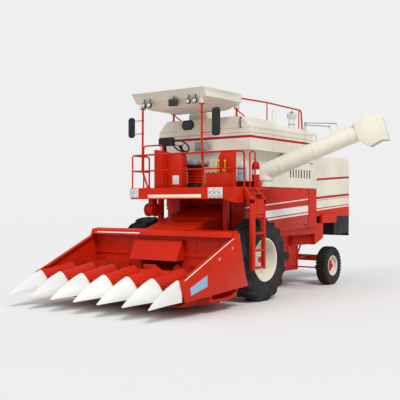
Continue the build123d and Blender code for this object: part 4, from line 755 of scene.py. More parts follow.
parts += [pipe(red, [(0.81, 0.163, 3.87), (0.9, 1.02, 3.87), (0.9, 2.33, 3.85), (0.9, 2.43, 3.84),
                     (0.9, 2.48, 3.428)], 0.017, sides=4),
          pipe(red, [(0.9, 1.02, ROOF_TOP), (0.9, 1.02, 3.868)], 0.012, sides=4),
          pipe(red, [(0.9, 2.33, STEP_TOP), (0.9, 2.33, 3.848)], 0.012, sides=4),
          plate(0.9, 2.4775, STEP_TOP, 0.035, 0.0325)]
assemble("bent_posts", "chassis", "red_paint", parts, "canopy_frame")

# Canopy
# Moulded cream tray: a slightly crowned top, a rolled rim, a slanting front and a belly below. It is
# held on pads over the posts.
canopy_cream = enamel("canopy_moulding", CREAM, 0.42, 0.0)
TRAY = ((0.3, -0.6, -0.3, 3.9548, 0.05), (0.62, -0.88, -0.08, 3.9535, 0.05), (0.835, -1.085, 0.125, 3.9495, 0.05),
        (0.864, -1.114, 0.154, 3.944, 0.04), (0.87, -1.12, 0.16, 3.934, 0.03), (0.87, -1.113, 0.16, 3.924, 0.03),
        (0.864, -1.1, 0.154, 3.916, 0.03), (0.864, -1.002, 0.154, 3.79, 0.03), (0.87, -0.995, 0.16, 3.782, 0.03),
        (0.868, -0.99, 0.158, 3.775, 0.03), (0.852, -0.975, 0.145, 3.766, 0.03), (0.64, -0.88, 0.045, 3.644, 0.05),
        (0.6, -0.85, 0.02, 3.63, 0.05), (0.56, -0.81, -0.02, 3.625, 0.05))


def rounded(x, y0, y1, z, radius):
    """A rectangle's outline with rounded corners, at a height."""
    ring = []
    for sx, y, sy, first in ((1, y0, 1, -90), (1, y1, -1, 0), (-1, y1, -1, 90), (-1, y0, 1, 180)):
        for k in range(5):
            turn = math.radians(first + 22.5 * k)
            ring.append((sx * (x - radius) + radius * math.cos(turn), y + sy * radius + radius * math.sin(turn), z))
    return ring


parts = [grow(canopy_cream, [rounded(*row) for row in TRAY], angle=50)]
parts += [slab(canopy_cream, (sign * x - 0.042, y - 0.042, 3.66), (sign * x + 0.042, y + 0.042, 3.785), 0.006)
          for x, y in (FRONT_POST, REAR_POST) for sign in (-1, 1)]
parts += [slab(canopy_cream, (x, -0.74, 3.6235), (x + 0.13, -0.1, 3.6262), 0.0012)
          for x in (-0.5, -0.21, 0.08, 0.37)]
assemble("canopy_tray", "chassis", "cream_paint", parts, "canopy")

# Lamps
# Two white headlamp clusters on the fascia, and under the canopy's front four work lamps in dark
# moulded cases with a vent box between them. Each lamp is a chromed ring round a domed lens.
LAMP_RING = [(0.82, 0.0), (1, 0.0), (1, 0.01), (0.94, 0.016), (0.86, 0.013)]
LAMP_LENS = [(0, 0.002), (0.86, 0.002), (0.86, 0.008), (0.55, 0.0145), (0, 0.016)]
LAMP_Z = 3.7
CLUSTERS = ((-0.945, -0.74, 1.93, 2.11, 2), (0.93, 1.245, 1.92, 2.11, 3))
lens = glass_pane("lamp_lens", (0.72, 0.76, 0.78), 0.1, 0.35)
chrome = metal("lamp_bowl", (0.8, 0.8, 0.8), 0.12)


def lamp_face(middle, radius):
    """A chromed ring round a domed lens that looks forward."""
    return [lathe(material, [(radius * share, along) for share, along in outline], middle, AHEAD, 28)
            for material, outline in ((chrome, LAMP_RING), (lens, LAMP_LENS))]


white = enamel("white_enamel", WHITE, 0.3, 0.1)
lamp_case = rubber("lamp_case", (0.035, 0.036, 0.038), 0.05)
parts = []
for x0, x1, z0, z1, columns in CLUSTERS:
    parts.append(slab(white, (x0, -1.062, z0), (x1, -1.0303, z1), 0.008))
    wide = (x1 - x0) / columns
    for column in range(columns):
        for row in (0.27, 0.73):
            parts += lamp_face((x0 + wide * (column + 0.5), -1.06, z0 + row * (z1 - z0)), 0.043)
for x in (-0.591, -0.451, 0.487, 0.637):
    case = [[(a, y, c) for a, c in eight(x - half, x + half, LAMP_Z - tall, LAMP_Z + tall, 0.016)]
            for y, half, tall in ((-1.016, 0.026, 0.03), (-1.024, 0.038, 0.042), (-1.062, 0.048, 0.05),
                                  (-1.07, 0.048, 0.05))]
    parts += [grow(lamp_case, case), *lamp_face((x, -1.069, LAMP_Z), 0.041),
              pipe(lamp_case, [(x, -1.035, 3.745), (x, -1.035, 3.822)], 0.009)]
parts += [slab(black, (0.052, -1.0865, z), (0.214, -1.0835, z + 0.011), 0.001)
          for z in (3.656 + 0.021 * slot for slot in range(5))]
parts += [slab(lamp_case, (0.038, -1.085, 3.64), (0.228, -1.018, 3.77), 0.008),
          pipe(lamp_case, [(0.133, -1.035, 3.765), (0.133, -1.035, 3.822)], 0.01)]
assemble("lamp_set", "chassis", "lamp", parts, "work_lamps")

# Mirrors
# Moulded black housings on red arms clamped to the front posts, with the glass towards the rear.
HOUSING = ((-0.985, 0.022), (-0.982, 0.01), (-0.972, 0.002), (-0.95, 0.0), (-0.942, 0.002), (-0.942, 0.01),
           (-0.946, 0.012))
CLAMP = [(0.0205, -0.014), (0.026, -0.014), (0.026, 0.014), (0.0205, 0.014)]
mirror_glass = metal("mirror_glass", (0.7, 0.72, 0.74), 0.03)
parts = []
for sign, x0, x1, z0, z1 in ((1, 0.96, 1.13, 3.05, 3.56), (-1, 0.915, 1.065, 3.11, 3.505)):
    housing = [[(sign * x, y, z) for x, z in eight(x0 + inset, x1 - inset, z0 + inset, z1 - inset, 0.035)]
               for y, inset in HOUSING]
    pane = [(sign * x, z) for x, z in eight(x0 + 0.012, x1 - 0.012, z0 + 0.012, z1 - 0.012, 0.03)]
    parts += [grow(black, housing, angle=40), prism(mirror_glass, pane, (-0.9475, -0.944), axis=1)]
    for z in (z0 + 0.07, z1 - 0.07):
        parts += [pipe(red, [(sign * 0.7353, -0.945, z), (sign * (x0 + 0.03), -0.962, z)], 0.009),
                  lathe(red, CLAMP, (sign * FRONT_POST[0], -0.9435, z), UP, 24)]
assemble("mirror_pair", "chassis", "black_plastic", parts, "mirrors")

# Consoles
# Red sheet-metal boxes with rounded edges: the console right of the driver, the lever box on the
# left with its arched back plate, and a blank white plate.
BACK_PLATE = [(0.74, 2.385), (1.165, 2.385), (1.165, 2.765), (1.145, 2.79), (0.85, 2.79), (0.8, 2.735), (0.76, 2.65)]
parts = [prism(red, [(-0.567, 2.12), (-0.289, 2.12), (-0.289, 2.806), (-0.567, 2.876)], (-0.78, -0.52), 0.012, 1),
         prism(red, [(-0.3, 2.12), (0.079, 2.12), (0.079, 2.747), (-0.3, 2.806)], (-0.72, -0.56), 0.012, 1),
         slab(red, (0.645, -0.75, 2.12), (1.165, -0.48, 2.39), 0.012),
         prism(red, BACK_PLATE, (-0.508, -0.482), 0.006, 1),
         slab(white, (-0.15, -0.7235, 2.19), (0.005, -0.719, 2.362), 0.002)]
parts += [slab(black, (x, -0.715, 2.388), (x + 0.036, -0.55, 2.3925), 0.001)
          for x in (0.672, 0.772, 0.882, 0.992, 1.102)]
parts += [slab(red, (-0.545, -0.7835, z - 0.035), (-0.315, -0.779, z + 0.035), 0.002) for z in (2.24, 2.7)]
assemble("console_boxes", "chassis", "red_paint", parts, "control_cabinets")

# Levers
# Seven levers with yellow grips and black rubber boots, over the slots of the lever box.
BOOT = [(0, 0), (0.017, 0), (0.015, 0.012), (0.0095, 0.02), (0, 0.02)]
LEVER_FOOT = 2.3903
grip_yellow = enamel("grip_yellow", (0.8, 0.52, 0.03), 0.4, 0.0)
parts = []
for x, y, height, knob in ((0.72, -0.57, 0.21, 0.018), (0.83, -0.57, 0.22, 0.018), (0.97, -0.57, 0.21, 0.018),
                           (0.69, -0.695, 0.05, 0.015), (0.8, -0.695, 0.05, 0.015), (0.91, -0.695, 0.05, 0.015),
                           (1.02, -0.695, 0.05, 0.015)):
    top = height + 0.034
    lever = [(0, 0), (0.009, 0), (0.009, height - 0.01), (0.75 * knob, height - 0.006), (knob, height + 0.006),
             (knob, top - 0.012), (0.7 * knob, top - 0.003), (0, top)]
    parts += [lathe(material, outline, (x, y, LEVER_FOOT), UP, 16, 50)
              for material, outline in ((grip_yellow, lever), (black, BOOT))]
assemble("lever_set", "chassis", "yellow_grip", parts, "levers")

# Steering column
# A black three-spoke wheel on its column, and the instrument box with its dials on a neck.
TILT = math.radians(-38)
RIM_RADIUS, RIM_THICK = 0.165, 0.0145
WHEEL_HUB = [(0, -0.04), (0.026, -0.04), (0.038, -0.025), (0.038, -0.006), (0.028, 0.004), (0, 0.006)]
BEZEL = [(0.03, 0), (0.037, 0), (0.037, 0.004), (0.033, 0.006), (0.03, 0.004)]
DIAL = [(0, 0.0), (0.031, 0.0), (0.031, 0.0025), (0, 0.0025)]
wheel_way = Vector((0, -math.sin(TILT), math.cos(TILT)))
wheel_middle = Vector((0.05, -0.714, 2.92))
wheel_up = wheel_way.cross(Vector(ACROSS))
rim_section = [(RIM_RADIUS + RIM_THICK * math.cos(math.tau * k / 12), RIM_THICK * math.sin(math.tau * k / 12))
               for k in range(12)]
parts = [lathe(black, rim_section, wheel_middle, wheel_way, 48, 80),
         lathe(black, WHEEL_HUB, wheel_middle, wheel_way, 28, 40),
         pipe(black, [(0.04, -0.64, 2.78), (0.0495, -0.7115, 2.895)], 0.024, sides=4)]
for turn in (90, 210, 330):
    arm = Vector(ACROSS) * math.cos(math.radians(turn)) + wheel_up * math.sin(math.radians(turn))
    spoke = [wheel_middle + arm * out - wheel_way * down for out, down in ((0.02, 0.02), (0.09, 0.012), (0.16, 0))]
    parts.append(pipe(black, spoke, 0.0075, 0.03))
column_base = [[(x0, y0, z0), (x1, y0, z1), (x1, y1, z1), (x0, y1, z0)]
               for x0, x1, y0, y1, z0, z1 in ((0.005, 0.075, -0.68, -0.6, 2.76, 2.749),
                                              (0.01, 0.07, -0.675, -0.605, 2.785, 2.785),
                                              (0.015, 0.065, -0.665, -0.615, 2.79, 2.79))]
neck = [[(x0, -0.62, z0), (x1, -0.62, z1), (x1, -0.59, z1), (x0, -0.59, z0)]
        for x0, x1, z0, z1 in ((-0.48, -0.4, 2.8547, 2.8345), (-0.47, -0.41, 2.945, 2.945))]
box = [[(x, y, z) for x, z in ((-0.56 + e, 2.946 + e), (-0.228 - e, 2.946 + e), (-0.222 - e, 2.96 + e),
                               (-0.222 - e, 3.09 - e), (-0.236 - e, 3.105 - e), (-0.552 + e, 3.105 - e),
                               (-0.566 + e, 3.09 - e), (-0.566 + e, 2.96 + e))]
       for y, e in ((-0.65, 0.008), (-0.644, 0.0), (-0.562, 0.0), (-0.562, 0.008), (-0.566, 0.01))]
parts += [grow(black, column_base, 0.002, 30), grow(black, neck, 0.003, 30), grow(black, box, angle=30)]
for x in (-0.49, -0.394, -0.298):
    dial = (x, -0.567, 3.03)
    parts += [lathe(chrome, BEZEL, dial, BACK, 28), lathe(white, DIAL, dial, BACK, 28),
              slab(red, (x - 0.0015, -0.565, 3.028), (x + 0.0015, -0.5635, 3.054), 0.0003)]
assemble("steering_set", "chassis", "black_plastic", parts, "steering_column")

# Operator's seat
# A grey vinyl cushion and back pad, each blown up over its foam by a short cloth run. They stand on a
# red bellows between two black plates, and the back pad has a black post.
BELLOWS_FOLD = 0.0565
vinyl = rubber("seat_vinyl", (0.21, 0.23, 0.26), 0.02)
vinyl.node_tree.nodes["Principled BSDF"].inputs["Roughness"].default_value = 0.46


def cushion(name, low, high, swell, cap):
    """A crowned pad between two corners: a box, remeshed, blown up, and kept near its box."""
    piece = slab(vinyl, tuple(a + swell for a in low), tuple(b - swell for b in high), 0.02)
    pick(piece)
    piece.data.remesh_voxel_size = 0.008
    bpy.ops.object.voxel_remesh()
    before = [corner.co.copy() for corner in piece.data.vertices]
    bpy.ops.object.modifier_add(type="CLOTH")
    cloth = piece.modifiers[-1]
    cloth.settings.use_pressure = True
    cloth.settings.uniform_pressure_force = 4
    cloth.settings.effector_weights.gravity = 0
    for step in range(1, 21):
        bpy.context.scene.frame_set(step)
    bpy.ops.object.modifier_apply(modifier=cloth.name)
    bpy.context.scene.frame_set(1)
    for corner, place in zip(piece.data.vertices, before):
        moved = corner.co - place
        if moved.length > cap:
            corner.co = place + moved * (cap / moved.length)
    for corner in piece.data.vertices:
        for axis in range(3):
            corner.co[axis] = min(max(corner.co[axis], low[axis]), high[axis])
    bpy.ops.object.modifier_add(type="SMOOTH")
    piece.modifiers[-1].iterations = 4
    bpy.ops.object.modifier_apply(modifier=piece.modifiers[-1].name)
    bpy.ops.object.shade_smooth()
    assemble(name, "chassis", "seat_vinyl", [piece], "seat")


cushion("seat_cushion", (-0.2, -0.52, 2.562), (0.3, -0.06, 2.66), 0.012, 0.016)
cushion("seat_back_pad", (-0.13, -0.095, 2.852), (0.23, -0.028, 3.058), 0.01, 0.012)
parts = [slab(black, (-0.09, -0.42, 2.12), (0.19, -0.1, 2.2), 0.006),
         slab(black, (-0.15, -0.47, 2.54), (0.25, -0.09, 2.564), 0.006),
         pipe(black, [(0.05, -0.1, 2.552), (0.05, -0.0475, 2.552), (0.05, -0.0475, 2.95)], 0.012, 0.03),
         slab(black, (-0.01, -0.052, 2.9), (0.11, -0.03, 3.00), 0.004)]
for z in (2.2 + BELLOWS_FOLD * k for k in range(6)):
    fold = [[(0.05 + sx * w, -0.26 + sy * 0.9 * w, z + rise) for sx, sy in ((-1, -1), (1, -1), (1, 1), (-1, 1))]
            for w, rise in ((0.105, 0), (0.13, 0.028), (0.105, BELLOWS_FOLD))]
    parts.append(grow(red, fold, 0.004, 30))
assemble("seat_suspension", "chassis", "black_plastic", parts, "seat")

# Canister and extinguisher
# They stand on a red shelf: a pale blue moulded canister with its cap, and a red cylinder with a
# valve, a squeeze lever and a bracket strap.
CANISTER_FOOT, CYLINDER_FOOT = (0.96, 0.02, 2.2503), (1.265, 0.02, 2.2503)
CANISTER = [(0, 0), (0.08, 0), (0.087, 0.01), (0.087, 0.1), (0.083, 0.11), (0.083, 0.118), (0.087, 0.128),
            (0.087, 0.2), (0.083, 0.21), (0.083, 0.218), (0.087, 0.228), (0.086, 0.275), (0.06, 0.318),
            (0.042, 0.33), (0, 0.33)]
SCREW_CAP = [(0, 0), (0.04, 0), (0.04, 0.046), (0.036, 0.05), (0, 0.05)]
CYLINDER = [(0, 0), (0.068, 0), (0.074, 0.012), (0.074, 0.3), (0.06, 0.345), (0.03, 0.366), (0, 0.368)]
LABEL = [(0.0742, 0.12), (0.075, 0.12), (0.075, 0.21), (0.0742, 0.21)]
STRAP = [(0.0742, 0.245), (0.0762, 0.245), (0.0762, 0.265), (0.0742, 0.265)]
VALVE = [(0, 0), (0.018, 0), (0.018, 0.03), (0, 0.03)]
pale_blue = enamel("canister_plastic", (0.3, 0.58, 0.66), 0.4, 0.0)
signal_red = enamel("extinguisher_enamel", (0.55, 0.008, 0.006), 0.25, 0.0)
parts = [slab(red, low, high) for low, high in (((0.86, -0.07, 2.236), (1.35, 0.11, 2.25)),
                                                ((0.86, -0.07, 2.12), (0.875, 0.11, 2.24)),
                                                ((1.335, -0.07, 2.12), (1.35, 0.11, 2.24)),
                                                ((0.87, 0.095, 2.12), (1.34, 0.11, 2.24)))]
parts += [lathe(pale_blue, CANISTER, CANISTER_FOOT, UP, 36, 30), lathe(white, SCREW_CAP, (0.96, 0.02, 2.578), UP, 24),
          lathe(signal_red, CYLINDER, CYLINDER_FOOT, UP, 36, 30), lathe(white, LABEL, CYLINDER_FOOT, UP, 36),
          lathe(black, STRAP, CYLINDER_FOOT, UP, 36), lathe(zinc, VALVE, (1.265, 0.02, 2.615), UP, 20),
          slab(black, (1.257, -0.04, 2.643), (1.273, 0.03, 2.65), 0.002),
          slab(black, (1.257, -0.045, 2.66), (1.273, 0.025, 2.667), 0.002),
          slab(zinc, (1.26, 0.018, 2.64), (1.27, 0.03, 2.664), 0.001)]
assemble("shelf_bottles", "chassis", "bottle", parts, "bottles")

# Ladder
# Red box rails with pressed treads, closed at the top, hung from the landing by two cheeks.
LADDER_X = (1.62, 1.69)
CHEEK = [(1.5003, 1.97), (1.5003, 2.12), (1.69, 1.92), (1.69, 1.82), (1.62, 1.82)]
parts = [slab(red, (LADDER_X[0], y0, 0.64), (LADDER_X[1], y1, 1.9), 0.006)
         for y0, y1 in ((-0.74, -0.65), (-0.36, -0.3))]
parts += [slab(red, (1.625, -0.72, 1.63), (1.685, -0.3, 1.9), 0.005),
          slab(red, (1.5003, -0.68, 1.99), (1.655, -0.33, 2.015), 0.004)]
for z in (0.67 + 0.31 * step for step in range(4)):
    parts.append(slab(red, (LADDER_X[0], -0.66, z - 0.02), (LADDER_X[1], -0.35, z + 0.014), 0.004))
    parts += [slab(red, (x, -0.65, z + 0.012), (x + 0.01, -0.36, z + 0.02), 0.002) for x in (1.628, 1.648, 1.668)]
for y0, y1, bolt_y, way in ((-0.74, -0.68, -0.74, -1), (-0.36, -0.3, -0.3, 1)):
    parts.append(prism(red, CHEEK, (y0, y1), 0.005, 1))
    parts += [bolt(red, (x, bolt_y, z), (0, way, 0), 0.008) for x, z in ((1.555, 1.99), (1.515, 2.07))]
assemble("step_ladder", "chassis", "red_paint", parts, "ladder")

# Roof fittings
# Engine air pre-cleaner with its clear bowl, a short white exhaust stub and a bent rail at the back.
CLEANER = Vector((0.78, 2.23, STEP_TOP))
CLEANER_BODY = [(0, 0), (0.088, 0), (0.088, 0.008), (0.07, 0.012), (0.07, 0.24), (0.085, 0.252), (0.1, 0.256),
                (0.104, 0.268), (0, 0.268)]
BOWL = [(0, 0.268), (0.1, 0.268), (0.1045, 0.3), (0.1045, 0.345), (0.095, 0.362), (0, 0.366)]
KNOB = [(0, 0.362), (0.05, 0.362), (0.052, 0.374), (0.03, 0.382), (0.016, 0.4), (0, 0.404)]
BAND = [(0.0702, 0.1), (0.073, 0.1), (0.073, 0.125), (0.0702, 0.125)]
STUB = [(0, 0), (0.06, 0), (0.06, 0.006), (0.042, 0.01), (0.042, 0.328), (0.04, 0.34), (0.034, 0.34),
        (0.034, 0.2), (0, 0.2)]


def level_circle(centre, radius, count, first=0.0):
    """Points evenly round a level circle."""
    return [Vector(centre) + Vector((radius * math.cos(turn), radius * math.sin(turn), 0))
            for turn in (math.radians(first + 360 / count * k) for k in range(count))]


bowl_clear = glass_pane("bowl_clear", (0.62, 0.66, 0.68), 0.12, 0.25)
parts = [lathe(white, CLEANER_BODY, CLEANER, UP, 40), lathe(bowl_clear, BOWL, CLEANER, UP, 40),
         lathe(black, KNOB, CLEANER, UP, 28), lathe(zinc, BAND, CLEANER, UP, 36),
         lathe(white, STUB, (0.8, 1.45, STEP_TOP), UP, 32),
         pipe(white, [(0.86, 2.5713, 3.39), (0.86, 3.2, 3.39), (0.86, 3.2, 2.874)], 0.017, 0.08, 4)]
parts += [slab(zinc, rod + Vector((-0.004, -0.004, 0.262)), rod + Vector((0.004, 0.004, 0.352)), 0.002)
          for rod in level_circle(CLEANER, 0.1035, 6)]
assemble("roof_fittings", "chassis", "white_paint", parts, "deck_fittings")

# Unloading auger
# A long cream tube that turns on a bolted flange, with an elbow, three clamping bands, lugs for the
# stays, and a hooded spout, open below. Its foot stands on the body.
SWING = Vector((1.15, 0.5, 2.3))
ELBOW_Z = 2.43
TURN, RISE = math.radians(17), math.radians(21.8)
TUBE_LENGTH, TUBE_RADIUS = 2.08, 0.165
BOLT_CIRCLE = 0.178
LUGS, LUG_TOP, LUG_ASIDE = (1.5, 1.64), 0.315, -0.02
FOOT = [(0, -0.15), (0.165, -0.15), (0.165, -0.034), (0.178, -0.028), (0.19, -0.026), (0.19, -0.0003), (0, -0.0003)]
TURNING_FLANGE = [(0, 0), (0.19, 0), (0.19, 0.024), (0.186, 0.028), (0.166, 0.03), (0, 0.03)]
CLAMPING_BAND = [(0.164, -0.02), (0.17, -0.016), (0.17, 0.016), (0.164, 0.02)]
HOOD = [(-0.2, 0.12), (0, 0.205), (0.15, 0.242), (0.25, 0.265), (0.3, 0.255), (0.33, 0.225),
        (0.46, -0.215), (0.33, -0.215), (0.11, -0.33), (-0.09, -0.215)]
HOLLOW = [(0.15, -0.345), (0.08, -0.23), (0.08, 0.17), (0.25, 0.232), (0.305, 0.2), (0.425, -0.23),
          (0.425, -0.345)]


def on_tube(along, lift=0.0, aside=0.0):
    """A point beside the tube's middle line, along from the elbow."""
    out = along * math.cos(RISE) - lift * math.sin(RISE)
    up = along * math.sin(RISE) + lift * math.cos(RISE)
    return Vector((SWING.x + out * math.cos(TURN) - aside * math.sin(TURN),
                   SWING.y + out * math.sin(TURN) + aside * math.cos(TURN), ELBOW_Z + up))


def at_spout(along, up, across):
    """A point of the spout, from the tube's end."""
    return on_tube(TUBE_LENGTH) + Vector((along * math.cos(TURN) + across * math.sin(TURN),
                                          along * math.sin(TURN) - across * math.cos(TURN), up))


def spout_block(outline, half, edge):
    """A block of the spout's side outline, as wide as twice half."""
    return grow(cream, [[at_spout(*spot, across) for spot in outline] for across in (-half, half)], edge)


parts = [lathe(cream, FOOT, SWING, UP, 56), slab(cream, (0.9503, 0.42, 2.155), (1.15, 0.58, 2.265), 0.006)]
parts += [bolt(cream, spot - Vector((0, 0, 0.026)), (0, 0, -1), 0.007)
          for spot in level_circle(SWING, BOLT_CIRCLE, 10, 18)]
assemble("auger_foot", "chassis", "cream_paint", parts, "auger_base")

parts = [pipe(cream, [SWING, (SWING.x, SWING.y, ELBOW_Z), on_tube(TUBE_LENGTH)], TUBE_RADIUS, 0.075, 12),
         lathe(cream, TURNING_FLANGE, SWING, UP, 56)]
parts += [bolt(cream, spot + Vector((0, 0, 0.027)), UP, 0.007) for spot in level_circle(SWING, BOLT_CIRCLE, 10)]
parts += [lathe(cream, CLAMPING_BAND, on_tube(along), on_tube(1) - on_tube(0), 56) for along in (0.36, 1.08, 1.8)]
parts += [pipe(cream, [on_tube(along, 0.15, LUG_ASIDE), on_tube(along, 0.293, LUG_ASIDE)], 0.014) for along in LUGS]
shell = spout_block(HOOD, 0.18, 0.014)
hollow = spout_block(HOLLOW, 0.165, 0.0)
pick(shell)
bpy.ops.object.modifier_add(type="BOOLEAN")
shell.modifiers[0].operation = "DIFFERENCE"
shell.modifiers[0].solver = "EXACT"
shell.modifiers[0].object = hollow
bpy.ops.object.modifier_apply(modifier=shell.modifiers[0].name)
bpy.data.objects.remove(hollow)
parts.append(shell)
parts += [bolt(cream, at_spout(along, up, 0.1795), at_spout(0, 0, 1) - at_spout(0, 0, 0), 0.008)
          for up in (0.15, -0.16) for along in (-0.05, 0.25)]
assemble("auger_tube", "unloading_auger", "cream_paint", parts, "unloading_auger")

# Stays of the auger
# Two thin bright bars from a hinge pin on the tank roof to the round studs on the tube.
STAY_PIN = Vector((1.04, 2.36, 3.49))
STUD = [(0, -0.02), (0.018, -0.02), (0.018, 0.012), (0, 0.012)]
STAY_EYE = [(0.0201, -0.012), (0.026, -0.012), (0.026, 0.012), (0.0201, 0.012)]
PIN = [(0, 0), (0.02, 0), (0.02, 0.094), (0.016, 0.1), (0, 0.1)]
parts = [lathe(zinc, PIN, STAY_PIN, UP, 24)]
for along, lift in zip(LUGS, (0.03, 0.075)):
    eye, stud = STAY_PIN + Vector((0, 0, lift)), on_tube(along, LUG_TOP, LUG_ASIDE)
    parts += [pipe(zinc, [eye, stud], 0.0105), lathe(zinc, STUD, stud, UP, 20), lathe(zinc, STAY_EYE, eye, UP, 24)]
assemble("stay_bars", "auger_stays", "bright_steel", parts, "auger_stays")

# Lift cylinders
# Red barrels with a gland nut and a welded eye, and chromed rods with their own eye.
REAR_EYE, FRONT_EYE = Vector((0, -0.19, 0.62)), Vector((0, -0.9, 0.44))
reach = FRONT_EYE - REAR_EYE
BARREL = [(0.026, 0.1), (0.04, 0.105), (0.045, 0.12), (0.045, 0.62), (0.0475, 0.625), (0.0475, 0.67), (0.044, 0.68),
          (0.0262, 0.68), (0.0262, 0.2), (0.01, 0.19)]
BARREL_EYE = [(0.0205, -0.028), (0.04, -0.028), (0.042, -0.025), (0.042, 0.025), (0.04, 0.028), (0.0205, 0.028)]
ROD = [(0, 0.35), (0.025, 0.35), (0.025, 0.955), (0, 0.955)]
ROD_EYE = [(0.01, -0.028), (0.036, -0.028), (0.038, -0.025), (0.038, 0.025), (0.036, 0.028), (0.01, 0.028)]
barrel = [(0.026, 0.03)] + [(radius, share * reach.length) for radius, share in BARREL] + [(0.01, 0.03)]
rod = [(radius, share * reach.length) for radius, share in ROD]
barrels, rods = [], []
for x in (-0.48, 0.48):
    foot, head = REAR_EYE + Vector((x, 0, 0)), FRONT_EYE + Vector((x, 0, 0))
    barrels += [lathe(red, barrel, foot, reach, 36), lathe(red, BARREL_EYE, foot, ACROSS)]
    rods += [lathe(chrome, rod, foot, reach), lathe(zinc, ROD_EYE, head, ACROSS)]
assemble("cylinder_barrels", "lift_barrels", "red_paint", barrels, "lift_barrels")
assemble("cylinder_rods", "lift_rods", "bright_steel", rods, "lift_rods")

# Feeder house
# Red conveyor casing. Folded ribs stiffen its top, and a bolted flange joins it to the header.
finish_node(red, "feeder_house")
parts = [slab(red, (-0.55, y - 0.014, z - 0.012), (0.55, y + 0.014, z + 0.004))
         for y, z in ((y, 1.62 + (y + 0.2) * 0.33) for y in (-0.95, -0.7, -0.45))]
parts += [bolt(red, (way * 0.5615, -1.17, z), (way, 0, 0), 0.009) for way in (-1, 1) for z in (1.2, 0.95, 0.7, 0.5)]
assemble("feeder_ribs", "header", "red_paint", parts)

# Header frame
# Red back wall, beam, trough and belly pan, with stiffening ribs behind and bolts along the beam.
# A pale band lies along part of the beam's front.
BEAM_PALE_BAND = [(-1.37, 1.282), (-1.373, 1.282), (-1.3915, 1.232), (-1.3885, 1.232)]
finish_node(red, "header_frame")
parts = [slab(red, (x - 0.02, -1.205, 0.36), (x + 0.02, -1.165, 1.33), 0.004)
         for x in (-1.55, -1.1, -0.66, 0.66, 1.1, 1.55)]
for x in (-1.54 + 0.28 * k for k in range(12)):
    parts += [bolt(red, (x, -1.2323, 1.155), AHEAD, 0.008), bolt(red, (x, -1.275, 1.34), (0, -0.13, 1), 0.007)]
parts += [slab(red, (x - 0.015, -1.24, 0.92), (x + 0.015, -1.228, 1.2), 0.004) for x in (-1.3, -0.8, 0.8, 1.3)]
parts += [bolt(red, (x, -1.36, 1.07), (0, -0.9, 0.45), 0.009) for x in (-0.5, 0.0, 0.5)]
parts += [pipe(red, [(-0.555, -1.499, 0.795), (0.555, -1.499, 0.795)], 0.007),
          pipe(red, [(-1.675, -1.3895, 1.2395), (1.675, -1.3895, 1.2395)], 0.007),
          prism(white, BEAM_PALE_BAND, (-1.52, -0.42), 0.0005)]
assemble("header_ribs", "header", "red_paint", parts)

# End plates
# Red plates cut to the header's side outline, with a bent lip, a white strip along the slanting edge that
# paints a highlight on it, two quarter-turn fasteners and a bearing cover. The left one has a blank blue plate.
PLATE_FACES = (1.68, 1.712)
BEARING = (1.7145, -1.56, 0.52)
FASTENER = [(0, 0), (0.026, 0), (0.026, 0.003), (0.016, 0.006), (0, 0.006)]
COVER = [(0, 0), (0.085, 0), (0.085, 0.004), (0.06, 0.007), (0, 0.007)]


def edge_height(y):
    """Height of the plates' slanting edge."""
    return 0.58 + (y + 2.784) * 0.4503


plate_blue = enamel("plate_blue", (0.3, 0.48, 0.66), 0.4, 0.0)
side_outline = [(-2.706, 0.272), (-2.784, 0.58), (-1.347, edge_height(-1.347)), (-1.33, 1.31), (-1.19, 1.31),
                (-1.007, 0.58), (-0.917, 0.385)]
lip = [[(x, y, edge_height(y) - drop) for y, drop in ((front, 0), (-1.4, 0), (-1.4, 0.022), (front, 0.022))]
       for x, front in ((1.61, -2.56), (1.708, -2.6))]
# A thin white strip on the slanting edge is a painted highlight.
painted_highlight_strip = [(y, edge_height(y) + rise) for y, rise in ((-2.7, 0.0), (-1.35, 0.0), (-1.35, 0.004), (-2.7, 0.004))]
parts = [prism(red, side_outline, PLATE_FACES, 0.007), grow(red, lip, 0.005),
         prism(white, painted_highlight_strip, (1.684, 1.708), 0.001), lathe(red, COVER, (1.7115, *BEARING[1:]), ACROSS)]
for y, z in ((-1.408, 1.068), (-1.79, 0.9)):
    parts += [lathe(zinc, FASTENER, (1.7115, y, z), ACROSS, 24),
              slab(black, (1.7165, y - 0.014, z - 0.003), (1.7195, y + 0.014, z + 0.003), 0.001)]
parts += [bolt(red, around(BEARING, 0.068, math.radians(turn)), ACROSS, 0.005) for turn in (45, 135, 225, 315)]
parts = mirrored(parts)
parts.append(prism(plate_blue, [(-2.59, 0.49), (-2.13, 0.665), (-2.13, 0.475), (-2.56, 0.37)], (1.7118, 1.7134),
                   0.0005))
assemble("lipped_end_plates", "header", "red_paint", parts, "header_sides")

# Snouts
# White moulded points with a crest, one before each gap between the rows and half ones at the ends.
ROW_PITCH = 0.533
PLATE_IN = 1.6797
SNOUT_HALF, SNOUT_HEIGHT, SNOUT_FLOOR, SNOUT_BACK, SNOUT_LENGTH, SNOUT_RINGS = 0.248, 0.335, 0.285, -2.75, 0.7, 15
SNOUT_X = [(i - 3) * ROW_PITCH for i in range(7)]
CREST = [(1, 0), (1, 0.12), (0.985, 0.26), (0.92, 0.4), (0.79, 0.54), (0.62, 0.69), (0.42, 0.835), (0.2, 0.965),
         (0.07, 0.995)]


def reach_sides(x, half):
    """How far a divider reaches to the left and to the right: the outer ones end at the plates."""
    return min(half, PLATE_IN - x), min(half, PLATE_IN + x)


